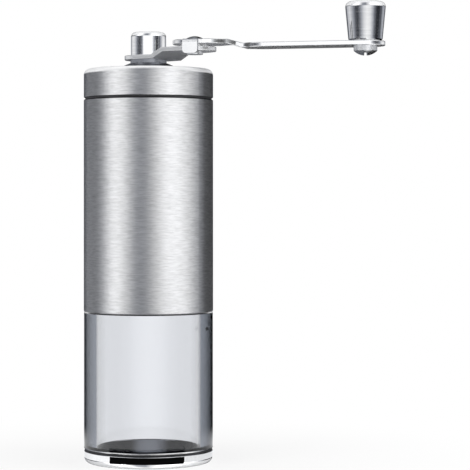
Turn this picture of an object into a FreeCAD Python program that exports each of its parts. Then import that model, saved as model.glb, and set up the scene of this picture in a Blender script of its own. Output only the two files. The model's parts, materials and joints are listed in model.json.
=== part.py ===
import FreeCAD, Part
import math
import os
import re

import Sketcher

# Slim hand grinder for coffee beans: a clear jar on a polished base, a steel body that holds the beans
# and the burrs, a lid, and a folding crank with a knob.
# Frame: +Z up along the drive shaft, origin under the middle of the base, crank bracket along +X.

SIZES = [
    ("body_radius", 25.0, "outer radius of the steel body and lid"),
    ("body_height", 81.65, "height of the steel body tube"),
    ("body_wall", 0.8, "wall of the body tube"),
    ("tube_edge", 0.35, "rounding of the steel tube's rims"),
    ("base_height", 4.75, "height of the polished base"),
    ("base_inset", 0.2, "how far the base lies inside the body's wall"),
    ("base_round", 2.2, "rounding of the base's lower edge"),
    ("base_edge", 0.3, "rounding of the base's upper edge"),
    ("floor_lift", 0.7, "height of the jar's floor above the gasket"),
    ("gasket_thickness", 0.75, "thickness of the base gasket"),
    ("gasket_inset", 0.3, "how far the gasket lies inside the jar's wall"),
    ("jar_height", 52.85, "height of the clear wall that shows"),
    ("jar_inset", 0.1, "how far the jar's wall lies inside the body's"),
    ("jar_wall", 4.95, "wall of the jar"),
    ("jar_bevel", 0.6, "bevel of the jar's lower edge"),
    ("neck_height", 9.0, "height of the jar's neck inside the body"),
    ("neck_clearance", 0.4, "radial clearance of the neck in the body"),
    ("neck_seal_lift", 4.5, "height of the neck's seal above the shoulder"),
    ("seal_section", 1.5, "diameter of the round sealing rings"),
    ("fit_gap", 0.05, "radial clearance of a pushed or running fit"),
    ("seat_gap", 0.1, "clearance between faces that seat on each other"),
    ("lid_gap", 0.7, "dark seam between body and lid"),
    ("lid_height", 11.1, "height of the lid shell"),
    ("lid_wall", 1.0, "wall of the lid shell"),
    ("lid_round", 2.3, "rounding of the lid's upper edge"),
    ("flange_inset", 0.6, "how far the lid insert's flange lies inside the lid"),
    ("plug_depth", 7.0, "depth of the lid's plug in the body"),
    ("plug_clearance", 0.2, "radial clearance of the lid's plug in the body"),
    ("plug_wall", 2.4, "wall of the lid's plug"),
    ("plug_seal_lift", 3.5, "height of the lid's seal above the plug's end"),
    ("web_thickness", 2.2, "thickness of the lid insert's top"),
    ("boss_radius", 11.0, "radius of the boss round the lid's bush"),
    ("boss_depth", 9.0, "height of the lid's bush"),
    ("bush_radius", 8.0, "outer radius of the lid's bush"),
    ("collar_radius", 5.0, "radius of the drive collar's sleeve"),
    ("collar_bore_gap", 0.1, "radial clearance of the collar on the shaft"),
    ("collar_flange", 12.6, "lower radius of the collar's cone"),
    ("collar_neck", 7.6, "upper radius of the collar's cone"),
    ("collar_cone", 2.1, "height of the collar's cone"),
    ("collar_tail", 2.0, "length of the collar below its bush"),
    ("clip_thickness", 0.8, "thickness of the retaining clips"),
    ("clip_depth", 0.6, "depth of the clips' grooves"),
    ("clip_width", 2.4, "width of the clips from groove to rim"),
    ("shaft_radius", 3.5, "radius of the drive shaft"),
    ("shaft_flats", 6.0, "width across the flats of the shaft's upper end"),
    ("drive_flats", 5.2, "width across the flats that turn the inner burr"),
    ("thread_radius", 2.5, "radius of the shaft's threaded end"),
    ("thread_tail", 1.0, "length of thread below the dial"),
    ("hex_depth", 7.0, "depth of the shaft's flats in the crank hub"),
    ("hub_flange_radius", 7.0, "radius of the crank hub below its bracket"),
    ("hub_flange_height", 1.2, "height of the crank hub below its bracket"),
    ("spigot_radius", 5.2, "radius of the crank hub inside bracket and cap"),
    ("socket_roof", 1.2, "thickness of the hub over its socket"),
    ("cap_radius", 6.8, "radius of the hub's cap"),
    ("cap_height", 9.15, "height of the hub's cap"),
    ("cap_round", 1.7, "rounding of the cap's upper edge"),
    ("plate_thickness", 1.7, "thickness of the stamped crank plates"),
    ("plate_edge", 0.25, "rounding of the stamped plates' edges"),
    ("hub_radius", 9.25, "radius of the bracket's end at the hub"),
    ("rivet_reach", 23.1, "distance of the folding rivet from the shaft"),
    ("bracket_end", 8.2, "radius of the bracket's end at the rivet"),
    ("step_start", 9.1, "distance of the bracket's step from the shaft"),
    ("step_run", 4.8, "length of the bracket's step"),
    ("step_rise", 2.4, "height of the bracket's step"),
    ("fold_angle", 24.0, "angle of the arm from the bracket, degrees"),
    ("fold_washer_thickness", 0.85, "thickness of the washer in the folding joint"),
    ("fold_washer_radius", 5.6, "radius of the washer in the folding joint"),
    ("rivet_radius", 2.2, "radius of the rivet's shank"),
    ("rivet_head", 4.1, "radius of the rivet's domed head"),
    ("rivet_crown", 1.6, "height of the rivet's domed head"),
    ("rivet_tail", 3.1, "radius of the rivet's lower head"),
    ("rivet_tail_height", 1.15, "height of the rivet's lower head"),
    ("pad_radius", 8.4, "radius of the arm's end at the rivet"),
    ("arm_length", 65.8, "distance of the knob from the rivet"),
    ("arm_width", 14.7, "width of the arm"),
    ("waist_width", 10.0, "width of the arm's waist"),
    ("neck_start", 5.0, "distance from the rivet at which the arm starts to narrow"),
    ("waist_start", 13.5, "distance of the waist's start from the rivet"),
    ("waist_end", 20.2, "distance of the waist's end from the rivet"),
    ("waist_flare", 7.5, "length over which the arm widens past its waist"),
    ("joggle_start", 13.8, "distance of the arm's joggle from the rivet"),
    ("joggle_run", 5.8, "length of the arm's joggle"),
    ("joggle_drop", 1.6, "drop of the arm's joggle"),
    ("tab_width", 5.8, "width of the stop tab"),
    ("tab_shift", 0.75, "shift of the stop tab from the rivet"),
    ("tab_gap", 0.3, "clearance of the stop tab round the bracket's end"),
    ("tab_drop", 3.75, "length of the stop tab below the arm"),
    ("tab_corner", 1.3, "rounding of the stop tab's corners"),
    ("tab_bend", 1.2, "outer radius of the stop tab's bend"),
    ("knob_bottom", 6.35, "lower radius of the knob"),
    ("knob_top", 7.75, "upper radius of the knob"),
    ("knob_height", 14.45, "height of the knob"),
    ("knob_round", 2.0, "rounding of the knob's upper edge"),
    ("knob_foot", 0.4, "rounding of the knob's lower edge"),
    ("knob_washer_thickness", 0.35, "thickness of the washer under the knob"),
    ("knob_washer_radius", 5.5, "radius of the washer under the knob"),
    ("axle_radius", 3.2, "radius of the knob's axle"),
    ("axle_head", 4.8, "radius of the axle's head"),
    ("axle_head_height", 1.2, "height of the axle's head"),
    ("knob_cap_radius", 5.2, "radius of the plug in the knob's top"),
    ("knob_cap_height", 1.6, "height of the plug in the knob's top"),
    ("screw_radius", 2.0, "radius of the knob screw's shank"),
    ("screw_head", 4.4, "radius of the knob screw's head"),
    ("screw_rim", 1.85, "height of the straight rim of the screw's head"),
    ("screw_crown", 1.75, "height of the crown of the screw's head"),
    ("slot_width", 1.2, "width of the screw's slot"),
    ("slot_depth", 1.4, "depth of the screw's slot"),
    ("slot_angle", -52.0, "direction of the screw's slot, degrees"),
    ("retainer_gap", 2.0, "clearance between the jar's neck and the burr retainer"),
    ("retainer_thickness", 2.4, "thickness of the burr retainer"),
    ("retainer_ledge", 2.0, "how far the retainer reaches under the outer burr"),
    ("screw_count", 3.0, "number of retainer screws"),
    ("pin_radius", 1.25, "radius of the retainer screws' shanks"),
    ("pin_length", 9.0, "length of the retainer screws' shanks"),
    ("pin_head", 2.3, "radius of the retainer screws' heads"),
    ("pin_head_height", 1.4, "height of the retainer screws' heads"),
    ("housing_wall", 5.6, "wall of the burr housing round the outer burr"),
    ("burr_height", 15.0, "height of the outer burr"),
    ("mouth_wall", 1.5, "wall of the outer burr at its upper rim"),
    ("burr_wall", 4.2, "radial room of the outer burr beside the inner burr's foot"),
    ("burr_teeth", 20.0, "number of notches in the outer burr"),
    ("burr_notch", 1.6, "depth of the notches in both burrs"),
    ("burr_gap", 0.5, "radial gap between the burrs at the finest setting"),
    ("lip_height", 1.5, "height of the housing's lip over the outer burr"),
    ("lip_width", 1.4, "width of the housing's lip over the outer burr"),
    ("funnel_height", 6.5, "height of the housing's funnel"),
    ("funnel_edge", 1.1, "width of the funnel's upper rim"),
    ("bearing_lift", 1.0, "height of the lower bearing above the lip"),
    ("bearing_height", 6.5, "height of the bearing hubs"),
    ("bearing_radius", 7.0, "radius of the bearing hubs"),
    ("bearing_bush", 5.0, "outer radius of the shaft's bushes"),
    ("bearing_flange", 6.2, "radius of the bushes' flanges"),
    ("bearing_flange_height", 1.0, "height of the bushes' flanges"),
    ("spoke_count", 3.0, "number of spokes of each bearing"),
    ("spoke_width", 4.0, "width of the spokes"),
    ("spoke_depth", 4.5, "height of the spokes"),
    ("spider_drop", 9.0, "depth of the upper spider below the body's rim"),
    ("spider_ring", 1.8, "width of the upper spider's ring"),
    ("throat_taper", 2.0, "how much the inner burr narrows over its fine teeth"),
    ("core_wall", 2.6, "wall of the inner burr at its top"),
    ("cone_lift", 0.4, "height of the inner burr above the outer burr's foot"),
    ("cone_height", 14.0, "height of the inner burr"),
    ("throat_height", 4.0, "height of the fine teeth"),
    ("cone_teeth", 16.0, "number of notches in the inner burr"),
    ("core_radius", 6.0, "radius of the inner burr's core"),
    ("core_height", 7.5, "height of the core inside the inner burr"),
    ("core_flange", 9.5, "radius of the core's flange"),
    ("core_flange_height", 1.3, "height of the core's flange"),
    ("spring_radius", 4.6, "mean radius of the burr spring"),
    ("spring_wire", 0.9, "diameter of the burr spring's wire"),
    ("spring_turns", 5.0, "number of turns of the burr spring"),
    ("detent_thickness", 0.85, "thickness of the detent washer"),
    ("detent_radius", 8.0, "radius of the detent washer"),
    ("dial_radius", 11.5, "radius of the adjusting dial"),
    ("dial_height", 6.6, "height of the adjusting dial"),
    ("dial_scallops", 8.0, "number of finger scallops round the dial"),
    ("scallop_radius", 2.4, "radius of the dial's finger scallops"),
    ("nut_radius", 5.0, "radius of the dial's threaded insert"),
]

# Heights above the table and other derived sizes, as formulas over the sheet's names.
BODY_BORE = "(body_radius - body_wall)"
GASKET_TOP = "(base_height + gasket_thickness)"
FLOOR_TOP = f"({GASKET_TOP} + floor_lift)"
BODY_LOW = f"({GASKET_TOP} + jar_height)"
SHOULDER = f"({BODY_LOW} - seat_gap)"
NECK_TOP = f"({BODY_LOW} + neck_height)"
NECK_RADIUS = f"({BODY_BORE} - neck_clearance)"
JAR_RADIUS = "(body_radius - jar_inset)"
BASE_RADIUS = "(body_radius - base_inset)"
JAR_BORE = f"({JAR_RADIUS} - jar_wall)"
NECK_SEAL_Z = f"({BODY_LOW} + neck_seal_lift)"
SEAL_RADIUS = f"({BODY_BORE} - fit_gap - seal_section / 2)"
SEAL_FLOOR = f"({SEAL_RADIUS} - seal_section / 2 - fit_gap)"
SEAL_HALF = "(seal_section / 2 + fit_gap)"
BODY_HIGH = f"({BODY_LOW} + body_height)"
LID_LOW = f"({BODY_HIGH} + lid_gap)"
LID_HIGH = f"({LID_LOW} + lid_height)"
LID_BORE = "(body_radius - lid_wall)"
PLUG_LOW = f"({BODY_HIGH} - plug_depth)"
PLUG_RADIUS = f"({BODY_BORE} - plug_clearance)"
PLUG_SEAL_Z = f"({PLUG_LOW} + plug_seal_lift)"
PLUG_BORE = f"({PLUG_RADIUS} - plug_wall)"
INSERT_TOP = f"({LID_HIGH} - lid_wall - fit_gap)"
BUSH_LOW = f"({LID_HIGH} - boss_depth)"
COLLAR_LOW = f"({BUSH_LOW} - collar_tail)"
COLLAR_TOP = f"({LID_HIGH} + fit_gap + collar_cone)"
HUB_LOW = f"({COLLAR_TOP} + seat_gap)"
BRACKET_LOW = f"({HUB_LOW} + hub_flange_height)"
BRACKET_TOP = f"({BRACKET_LOW} + plate_thickness)"
RAISED_LOW = f"({BRACKET_LOW} + step_rise)"
RAISED_TOP = f"({RAISED_LOW} + plate_thickness)"
CAP_TOP = f"({BRACKET_TOP} + cap_height)"
SHAFT_TOP = f"({HUB_LOW} + hex_depth)"
SOCKET_TOP = f"({SHAFT_TOP} + seat_gap)"
SPIGOT_TOP = f"({SOCKET_TOP} + socket_roof)"
PAD_LOW = f"({RAISED_TOP} + fold_washer_thickness)"
PAD_TOP = f"({PAD_LOW} + plate_thickness)"
ARM_LOW = f"({PAD_LOW} - joggle_drop)"
ARM_TOP = f"({ARM_LOW} + plate_thickness)"
KNOB_X = "(rivet_reach + arm_length * cos(fold_angle))"
KNOB_Y = "(arm_length * sin(fold_angle))"
KNOB_LOW = f"({ARM_TOP} + knob_washer_thickness)"
KNOB_HIGH = f"({KNOB_LOW} + knob_height)"
AXLE_TOP = f"({KNOB_HIGH} - knob_cap_height - seat_gap)"
AXLE_HEAD_LOW = f"({AXLE_TOP} - axle_head_height)"
RETAINER_LOW = f"({NECK_TOP} + retainer_gap)"
BURR_LOW = f"({RETAINER_LOW} + retainer_thickness)"
BURR_TOP = f"({BURR_LOW} + burr_height)"
FUNNEL_LOW = f"({BURR_TOP} + lip_height)"
FUNNEL_TOP = f"({FUNNEL_LOW} + funnel_height)"
HOUSING_RADIUS = f"({BODY_BORE} - fit_gap)"
BURR_SEAT = f"({HOUSING_RADIUS} - housing_wall)"
BURR_RADIUS = f"({BURR_SEAT} - fit_gap)"
SCREW_PITCH = f"({HOUSING_RADIUS} - housing_wall / 2)"
BEARING_LOW = f"({FUNNEL_LOW} + bearing_lift)"
BEARING_TOP = f"({BEARING_LOW} + bearing_height)"
SPIDER_TOP = f"({BODY_HIGH} - spider_drop)"
SPIDER_LOW = f"({SPIDER_TOP} - bearing_height)"
CONE_LOW = f"({BURR_LOW} + cone_lift)"
CONE_TOP = f"({CONE_LOW} + cone_height)"
THROAT_Z = f"({CONE_LOW} + throat_height)"
CONE_BASE = f"({BURR_RADIUS} - burr_wall)"
CONE_THROAT = f"({CONE_BASE} - throat_taper)"
CONE_RIM = "(core_radius + core_wall)"
CORE_LOW = f"({CONE_LOW} - core_flange_height)"
CORE_TOP = f"({CONE_LOW} + core_height)"
DETENT_LOW = f"({CORE_LOW} - seat_gap - detent_thickness)"
DIAL_TOP = f"({DETENT_LOW} - seat_gap)"
DIAL_LOW = f"({DIAL_TOP} - dial_height)"
SHAFT_LOW = f"({DIAL_LOW} - thread_tail)"
CLIP_LOW = f"({BEARING_TOP} + bearing_flange_height + seat_gap)"
CLIP_TOP = f"({CLIP_LOW} + clip_thickness)"

FORMULA_WORDS = ("abs", "sin", "cos", "tan", "atan", "sqrt")
NAME = re.compile(r"[a-z][a-z_]*")
UP = FreeCAD.Vector(0, 0, 1)
COUNTER_CLOCKWISE = 1
CLOCKWISE = -1
SAME_PLACE = 1e-4
# Shares of the arm's narrowing and widening that the outward and the hollow bends take.
SHOULDER_SHARE = "0.8"
HOLLOW_SHARE = "0.2"

doc = FreeCAD.newDocument("hand_grinder")
sheet = doc.addObject("Spreadsheet::Sheet", "Sizes")
pieces = []


def fill_sheet():
    """Write each size into the sheet as text, with its alias and what it measures."""
    for row, (alias, size, meaning) in enumerate(SIZES, start=1):
        sheet.set(f"A{row}", meaning)
        sheet.set(f"B{row}", str(size))
        sheet.setAlias(f"B{row}", alias)
    doc.recompute()


def bound(formula):
    """Turn the sheet's names in a formula into references that follow the sheet."""

    def reference(found):
        word = found.group()
        return word if word in FORMULA_WORDS else f"Sizes.{word}"

    return NAME.sub(reference, formula)


def measure(formula):
    """Value of a formula at the sheet's present sizes."""
    return float(sheet.evalExpression(bound(formula)))


def new_body(label, x="0", y="0", turn="0"):
    """An empty body on an upright axis at x, y, turned about it, and listed as a piece."""
    body = doc.addObject("PartDesign::Body", label)
    body.Label = label
    body.Placement.Rotation = FreeCAD.Rotation(UP, measure(turn))
    paths = ("Placement.Base.x", "Placement.Base.y", "Placement.Rotation.Angle")
    for path, formula in zip(paths, (x, y, turn)):
        if formula != "0":
            body.setExpression(path, bound(formula))
    pieces.append(body)
    return body


def origin_feature(body, role):
    """One of the body's own origin planes or axes."""
    return next(feature for feature in body.Origin.OriginFeatures if feature.Role == role)


def new_sketch(body, plane, lift="0"):
    """An empty sketch on one of the body's origin planes, lifted along its normal."""
    sketch = body.newObject("Sketcher::SketchObject", f"{body.Name}_sketch")
    sketch.AttachmentSupport = [(origin_feature(body, plane), "")]
    sketch.MapMode = "FlatFace"
    if lift != "0":
        sketch.setExpression("AttachmentOffset.Base.z", bound(lift))
    return sketch


def tie_size(sketch, constraint, formula):
    """Add a constraint whose size follows a formula."""
    index = sketch.addConstraint(constraint)
    sketch.setExpression(f"Constraints[{index}]", bound(formula))


def tie_point(sketch, curve, end, x, y):
    """Tie one point of a sketch to formulas for its two coordinates."""
    for kind, axis, formula in (("DistanceX", -2, x), ("DistanceY", -1, y)):
        if formula == "0":
            sketch.addConstraint(Sketcher.Constraint("PointOnObject", curve, end, axis))
        else:
            tie_size(sketch, Sketcher.Constraint(kind, -1, 1, curve, end, measure(formula)), formula)


def arc_between(start, end, radius, side):
    """Arc of less than half a circle from start to end, turning to the given side."""
    chord = end - start
    half = chord.Length / 2
    reach = math.sqrt(max(radius * radius - half * half, 0.0))
    left = FreeCAD.Vector(-chord.y, chord.x, 0).normalize()
    centre = (start + end) / 2 + left * (reach * side)
    first, last = (start, end) if side == COUNTER_CLOCKWISE else (end, start)
    angles = [math.atan2(point.y - centre.y, point.x - centre.x) for point in (first, last)]
    return Part.ArcOfCircle(Part.Circle(centre, UP, radius), angles[0], angles[1])


def draw(sketch, steps):
    """Closed outline through steps: (x, y) ends a straight run, (x, y, radius, side) ends an arc."""
    points = [FreeCAD.Vector(measure(step[0]), measure(step[1]), 0) for step in steps]
    ends = []
    for index, step in enumerate(steps):
        start, end = points[index - 1], points[index]
        if len(step) == 2:
            curve = sketch.addGeometry(Part.LineSegment(start, end), False)
            ends.append((curve, 1, 2))
            continue
        curve = sketch.addGeometry(arc_between(start, end, measure(step[2]), step[3]), False)
        ends.append((curve, 1, 2) if step[3] == COUNTER_CLOCKWISE else (curve, 2, 1))
        tie_size(sketch, Sketcher.Constraint("Radius", curve, measure(step[2])), step[2])
    for index, (curve, first, last) in enumerate(ends):
        following, head, _ = ends[(index + 1) % len(ends)]
        sketch.addConstraint(Sketcher.Constraint("Coincident", curve, last, following, head))
        tie_point(sketch, curve, last, steps[index][0], steps[index][1])
    return sketch


def draw_circle(sketch, x, y, radius):
    """A circle tied to formulas for its centre and radius."""
    centre = FreeCAD.Vector(measure(x), measure(y), 0)
    curve = sketch.addGeometry(Part.Circle(centre, UP, measure(radius)), False)
    if x == "0" and y == "0":
        sketch.addConstraint(Sketcher.Constraint("Coincident", curve, 3, -1, 1))
    else:
        tie_point(sketch, curve, 3, x, y)
    tie_size(sketch, Sketcher.Constraint("Radius", curve, measure(radius)), radius)
    return sketch


def box_steps(x_low, y_low, x_high, y_high):
    """Outline steps of an upright rectangle."""
    return [(x_low, y_low), (x_high, y_low), (x_high, y_high), (x_low, y_high)]


def hexagon_steps(flats):
    """Outline steps of a hexagon of the given width across its flats."""
    corner = f"({flats}) / sqrt(3)"
    half = f"({flats}) / 2 / sqrt(3)"
    side = f"({flats}) / 2"
    return [
        (corner, "0"),
        (half, side),
        (f"-{half}", side),
        (f"-{corner}", "0"),
        (f"-{half}", f"-{side}"),
        (half, f"-{side}"),
    ]


def revolve(body, steps):
    """Turn an outline of radius and height about the body's upright axis."""
    sketch = draw(new_sketch(body, "XZ_Plane"), steps)
    feature = body.newObject("PartDesign::Revolution", f"{body.Name}_turned")
    feature.Profile = sketch
    feature.ReferenceAxis = (sketch, ["V_Axis"])
    feature.Angle = 360
    return body


def turned(label, steps, x="0", y="0", turn="0"):
    """A turned piece on an upright axis."""
    return revolve(new_body(label, x, y, turn), steps)


def pad(body, sketch, length, symmetric=False):
    """Raise a sketch along its normal, or to both sides of it."""
    feature = body.newObject("PartDesign::Pad", f"{body.Name}_pad")
    feature.Profile = sketch
    feature.SideType = "Symmetric" if symmetric else "One side"
    feature.setExpression("Length", bound(length))
    return feature


def cut(body, sketch, length, upwards=False):
    """Cut a sketch out of the body, downwards unless told otherwise."""
    doc.recompute()
    before = body.Shape.Volume
    feature = body.newObject("PartDesign::Pocket", f"{body.Name}_cut")
    feature.Profile = sketch
    feature.Reversed = upwards
    feature.setExpression("Length", bound(length))
    doc.recompute()
    if not body.Shape.Volume < before:
        raise RuntimeError(f"{feature.Name} cuts nothing")
    return feature


def repeat_round(body, feature, count):
    """Copy a feature evenly round the body's upright axis."""
    pattern = body.newObject("PartDesign::PolarPattern", f"{body.Name}_ring")
    pattern.Originals = [feature]
    pattern.Axis = (origin_feature(body, "Z_Axis"), [""])
    pattern.Angle = 360
    pattern.setExpression("Occurrences", bound(count))
    body.Tip = pattern
    doc.recompute()
    return pattern


def round_edges(body, chosen, radius):
    """Round the edges of the body that a test picks."""
    doc.recompute()
    tip = body.Tip
    names = [f"Edge{number}" for number, edge in enumerate(tip.Shape.Edges, start=1) if chosen(edge)]
    if not names:
        raise RuntimeError(f"{body.Name} has no such edge to round")
    feature = body.newObject("PartDesign::Fillet", f"{body.Name}_round")
    feature.Base = (tip, names)
    feature.setExpression("Radius", bound(radius))
    doc.recompute()
    return feature


def sealing_ring(label, radius, height):
    """A round-section ring on the upright axis."""
    body = new_body(label)
    sketch = draw_circle(new_sketch(body, "XZ_Plane"), radius, height, "seal_section / 2")
    feature = body.newObject("PartDesign::Revolution", f"{label}_turned")
    feature.Profile = sketch
    feature.ReferenceAxis = (sketch, ["V_Axis"])
    feature.Angle = 360
    return body


def flat_ring(label, bore, radius, low, high, x="0", y="0"):
    """A plain washer or ring."""
    return turned(label, box_steps(bore, low, radius, high), x, y)


def stacked_rod(label, sections):
    """A shaft padded section by section; each is (round or hexagonal, size, low, high)."""
    body = new_body(label)
    for form, size, low, high in sections:
        sketch = new_sketch(body, "XY_Plane", low)
        if form == "round":
            draw_circle(sketch, "0", "0", size)
        else:
            draw(sketch, hexagon_steps(size))
        pad(body, sketch, f"{high} - {low}")
    return body


def add_bearing(body, low, reach):
    """Spokes, hub and bush bore of a bearing in the middle of a ring."""
    strip = box_steps("0", "-spoke_width / 2", reach, "spoke_width / 2")
    spoke = draw(new_sketch(body, "XY_Plane", low), strip)
    repeat_round(body, pad(body, spoke, "spoke_depth"), "spoke_count")
    pad(body, draw_circle(new_sketch(body, "XY_Plane", low), "0", "0", "bearing_radius"), "bearing_height")
    bore = draw_circle(new_sketch(body, "XY_Plane", low), "0", "0", "bearing_bush + fit_gap")
    cut(body, bore, "bearing_height", upwards=True)


def flanged_bush(label, low, high):
    """A shaft bush whose flange rests on top of its hub."""
    return turned(
        label,
        [
            ("shaft_radius + fit_gap", low),
            ("bearing_bush", low),
            ("bearing_bush", high),
            ("bearing_flange", high),
            ("bearing_flange", f"{high} + bearing_flange_height"),
            ("shaft_radius + fit_gap", f"{high} + bearing_flange_height"),
        ],
    )


def notch_round(body, low, inner, outer, width, count, length):
    """V-shaped notches round an upright axis, from a point at one radius to a width at another."""
    sketch = new_sketch(body, "XY_Plane", low)
    draw(sketch, [(inner, "0"), (outer, f"-({width}) / 2"), (outer, f"({width}) / 2")])
    repeat_round(body, cut(body, sketch, length, upwards=True), count)


def make_jar():
    """Clear tube with a neck, its sealing ring, and the polished base with its gasket."""
    turned(
        "jar_tube",
        [
            (JAR_BORE, GASKET_TOP),
            (f"{JAR_RADIUS} - jar_bevel", GASKET_TOP),
            (JAR_RADIUS, f"{GASKET_TOP} + jar_bevel"),
            (JAR_RADIUS, f"{SHOULDER} - tube_edge"),
            (f"{JAR_RADIUS} - tube_edge", SHOULDER, "tube_edge", COUNTER_CLOCKWISE),
            (NECK_RADIUS, SHOULDER),
            (NECK_RADIUS, f"{NECK_SEAL_Z} - {SEAL_HALF}"),
            (SEAL_FLOOR, f"{NECK_SEAL_Z} - {SEAL_HALF}"),
            (SEAL_FLOOR, f"{NECK_SEAL_Z} + {SEAL_HALF}"),
            (NECK_RADIUS, f"{NECK_SEAL_Z} + {SEAL_HALF}"),
            (NECK_RADIUS, NECK_TOP),
            (JAR_BORE, NECK_TOP),
        ],
    )
    sealing_ring("neck_seal", SEAL_RADIUS, NECK_SEAL_Z)
    flat_ring("base_gasket", JAR_BORE, f"{JAR_RADIUS} - gasket_inset", "base_height", GASKET_TOP)
    turned(
        "jar_base",
        [
            ("0", "0"),
            (f"{BASE_RADIUS} - base_round", "0"),
            (BASE_RADIUS, "base_round", "base_round", COUNTER_CLOCKWISE),
            (BASE_RADIUS, "base_height - base_edge"),
            (f"{BASE_RADIUS} - base_edge", "base_height", "base_edge", COUNTER_CLOCKWISE),
            (f"{JAR_BORE} - fit_gap", "base_height"),
            (f"{JAR_BORE} - fit_gap", FLOOR_TOP),
            ("0", FLOOR_TOP),
        ],
    )


def make_body():
    """Steel tube with the upper bearing that steadies the shaft in the bean hopper."""
    turned(
        "body_tube",
        [
            (BODY_BORE, BODY_LOW),
            ("body_radius - tube_edge", BODY_LOW),
            ("body_radius", f"{BODY_LOW} + tube_edge", "tube_edge", COUNTER_CLOCKWISE),
            ("body_radius", f"{BODY_HIGH} - tube_edge"),
            ("body_radius - tube_edge", BODY_HIGH, "tube_edge", COUNTER_CLOCKWISE),
            (BODY_BORE, BODY_HIGH),
        ],
    )
    ring_bore = f"({HOUSING_RADIUS} - spider_ring)"
    spider = flat_ring("upper_spider", ring_bore, HOUSING_RADIUS, SPIDER_LOW, SPIDER_TOP)
    add_bearing(spider, SPIDER_LOW, f"{HOUSING_RADIUS} - spider_ring / 2")
    flanged_bush("upper_bush", SPIDER_LOW, SPIDER_TOP)


def make_burr_housing():
    """Housing that funnels beans into the outer burr, with the lower bearing and the burr's retainer."""
    housing = turned(
        "burr_housing",
        [
            (HOUSING_RADIUS, BURR_LOW),
            (HOUSING_RADIUS, FUNNEL_TOP),
            (f"{HOUSING_RADIUS} - funnel_edge", FUNNEL_TOP),
            (f"{BURR_SEAT} - lip_width", FUNNEL_LOW),
            (f"{BURR_SEAT} - lip_width", BURR_TOP),
            (BURR_SEAT, BURR_TOP),
            (BURR_SEAT, BURR_LOW),
        ],
    )
    add_bearing(housing, BEARING_LOW, f"{HOUSING_RADIUS} - funnel_edge / 2")
    pin_hole = "pin_radius + fit_gap"
    hole = draw_circle(new_sketch(housing, "XY_Plane", BURR_LOW), SCREW_PITCH, "0", pin_hole)
    repeat_round(housing, cut(housing, hole, "pin_length", upwards=True), "screw_count")
    flanged_bush("lower_bush", BEARING_LOW, BEARING_TOP)
    ledge = f"({BURR_SEAT} - retainer_ledge)"
    retainer = flat_ring("burr_retainer", ledge, HOUSING_RADIUS, RETAINER_LOW, BURR_LOW)
    hole = draw_circle(new_sketch(retainer, "XY_Plane", RETAINER_LOW), SCREW_PITCH, "0", pin_hole)
    repeat_round(retainer, cut(retainer, hole, "retainer_thickness", upwards=True), "screw_count")
    make_retainer_screws()


def make_retainer_screws():
    """Screws that hold the burr's retainer to its housing, evenly round the axis."""
    count = round(measure("screw_count"))
    screws = []
    for number in range(count):
        angle = f"({number} * 360 / screw_count)"
        shank = doc.addObject("Part::Cylinder", f"screw_shank_{number}")
        shank.setExpression("Radius", bound("pin_radius"))
        shank.setExpression("Height", bound("pin_length"))
        shank.setExpression("Placement.Base.z", bound(RETAINER_LOW))
        head = doc.addObject("Part::Cylinder", f"screw_head_{number}")
        head.setExpression("Radius", bound("pin_head"))
        head.setExpression("Height", bound("pin_head_height"))
        head.setExpression("Placement.Base.z", bound(f"{RETAINER_LOW} - pin_head_height"))
        for solid in (shank, head):
            solid.setExpression("Placement.Base.x", bound(f"{SCREW_PITCH} * cos({angle})"))
            solid.setExpression("Placement.Base.y", bound(f"{SCREW_PITCH} * sin({angle})"))
        screw = doc.addObject("Part::Fuse", f"retainer_screw_{number}")
        screw.Base = shank
        screw.Tool = head
        screws.append(screw)
    group = doc.addObject("Part::Compound", "retainer_screws")
    group.Label = "retainer_screws"
    group.Links = screws
    pieces.append(group)


def make_burrs():
    """Notched ceramic ring and cone, with the core, spring and washer of the cone."""
    slope = "(throat_taper / throat_height)"
    foot = f"({CONE_BASE} + cone_lift * {slope} + burr_gap)"
    throat = f"({CONE_THROAT} + burr_gap)"
    outer = turned(
        "outer_burr",
        [
            (foot, BURR_LOW),
            (BURR_RADIUS, BURR_LOW),
            (BURR_RADIUS, BURR_TOP),
            (f"{BURR_RADIUS} - mouth_wall", BURR_TOP),
            (throat, THROAT_Z),
        ],
    )
    notch_round(outer, BURR_LOW, f"{throat} + burr_notch", f"{throat} - burr_notch",
                "2 * burr_notch", "burr_teeth", "burr_height")
    inner = turned(
        "inner_burr",
        [
            ("core_radius + fit_gap", CONE_LOW),
            (CONE_BASE, CONE_LOW),
            (CONE_THROAT, THROAT_Z),
            (CONE_RIM, CONE_TOP),
            ("core_radius + fit_gap", CONE_TOP),
        ],
    )
    notch_round(inner, CONE_LOW, f"{CONE_THROAT} - burr_notch", f"{CONE_BASE} + burr_notch",
                "2 * burr_notch", "cone_teeth", "cone_height")
    core = turned(
        "burr_core",
        [
            ("0", CORE_LOW),
            ("core_flange", CORE_LOW),
            ("core_flange", CONE_LOW),
            ("core_radius", CONE_LOW),
            ("core_radius", CORE_TOP),
            ("0", CORE_TOP),
        ],
    )
    hexagon = draw(new_sketch(core, "XY_Plane", CORE_LOW), hexagon_steps("drive_flats + 2 * fit_gap"))
    cut(core, hexagon, f"{CORE_TOP} - {CORE_LOW}", upwards=True)
    make_burr_spring()
    detent_top = f"({DETENT_LOW} + detent_thickness)"
    flat_ring("detent_washer", "thread_radius + fit_gap", "detent_radius", DETENT_LOW, detent_top)


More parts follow.
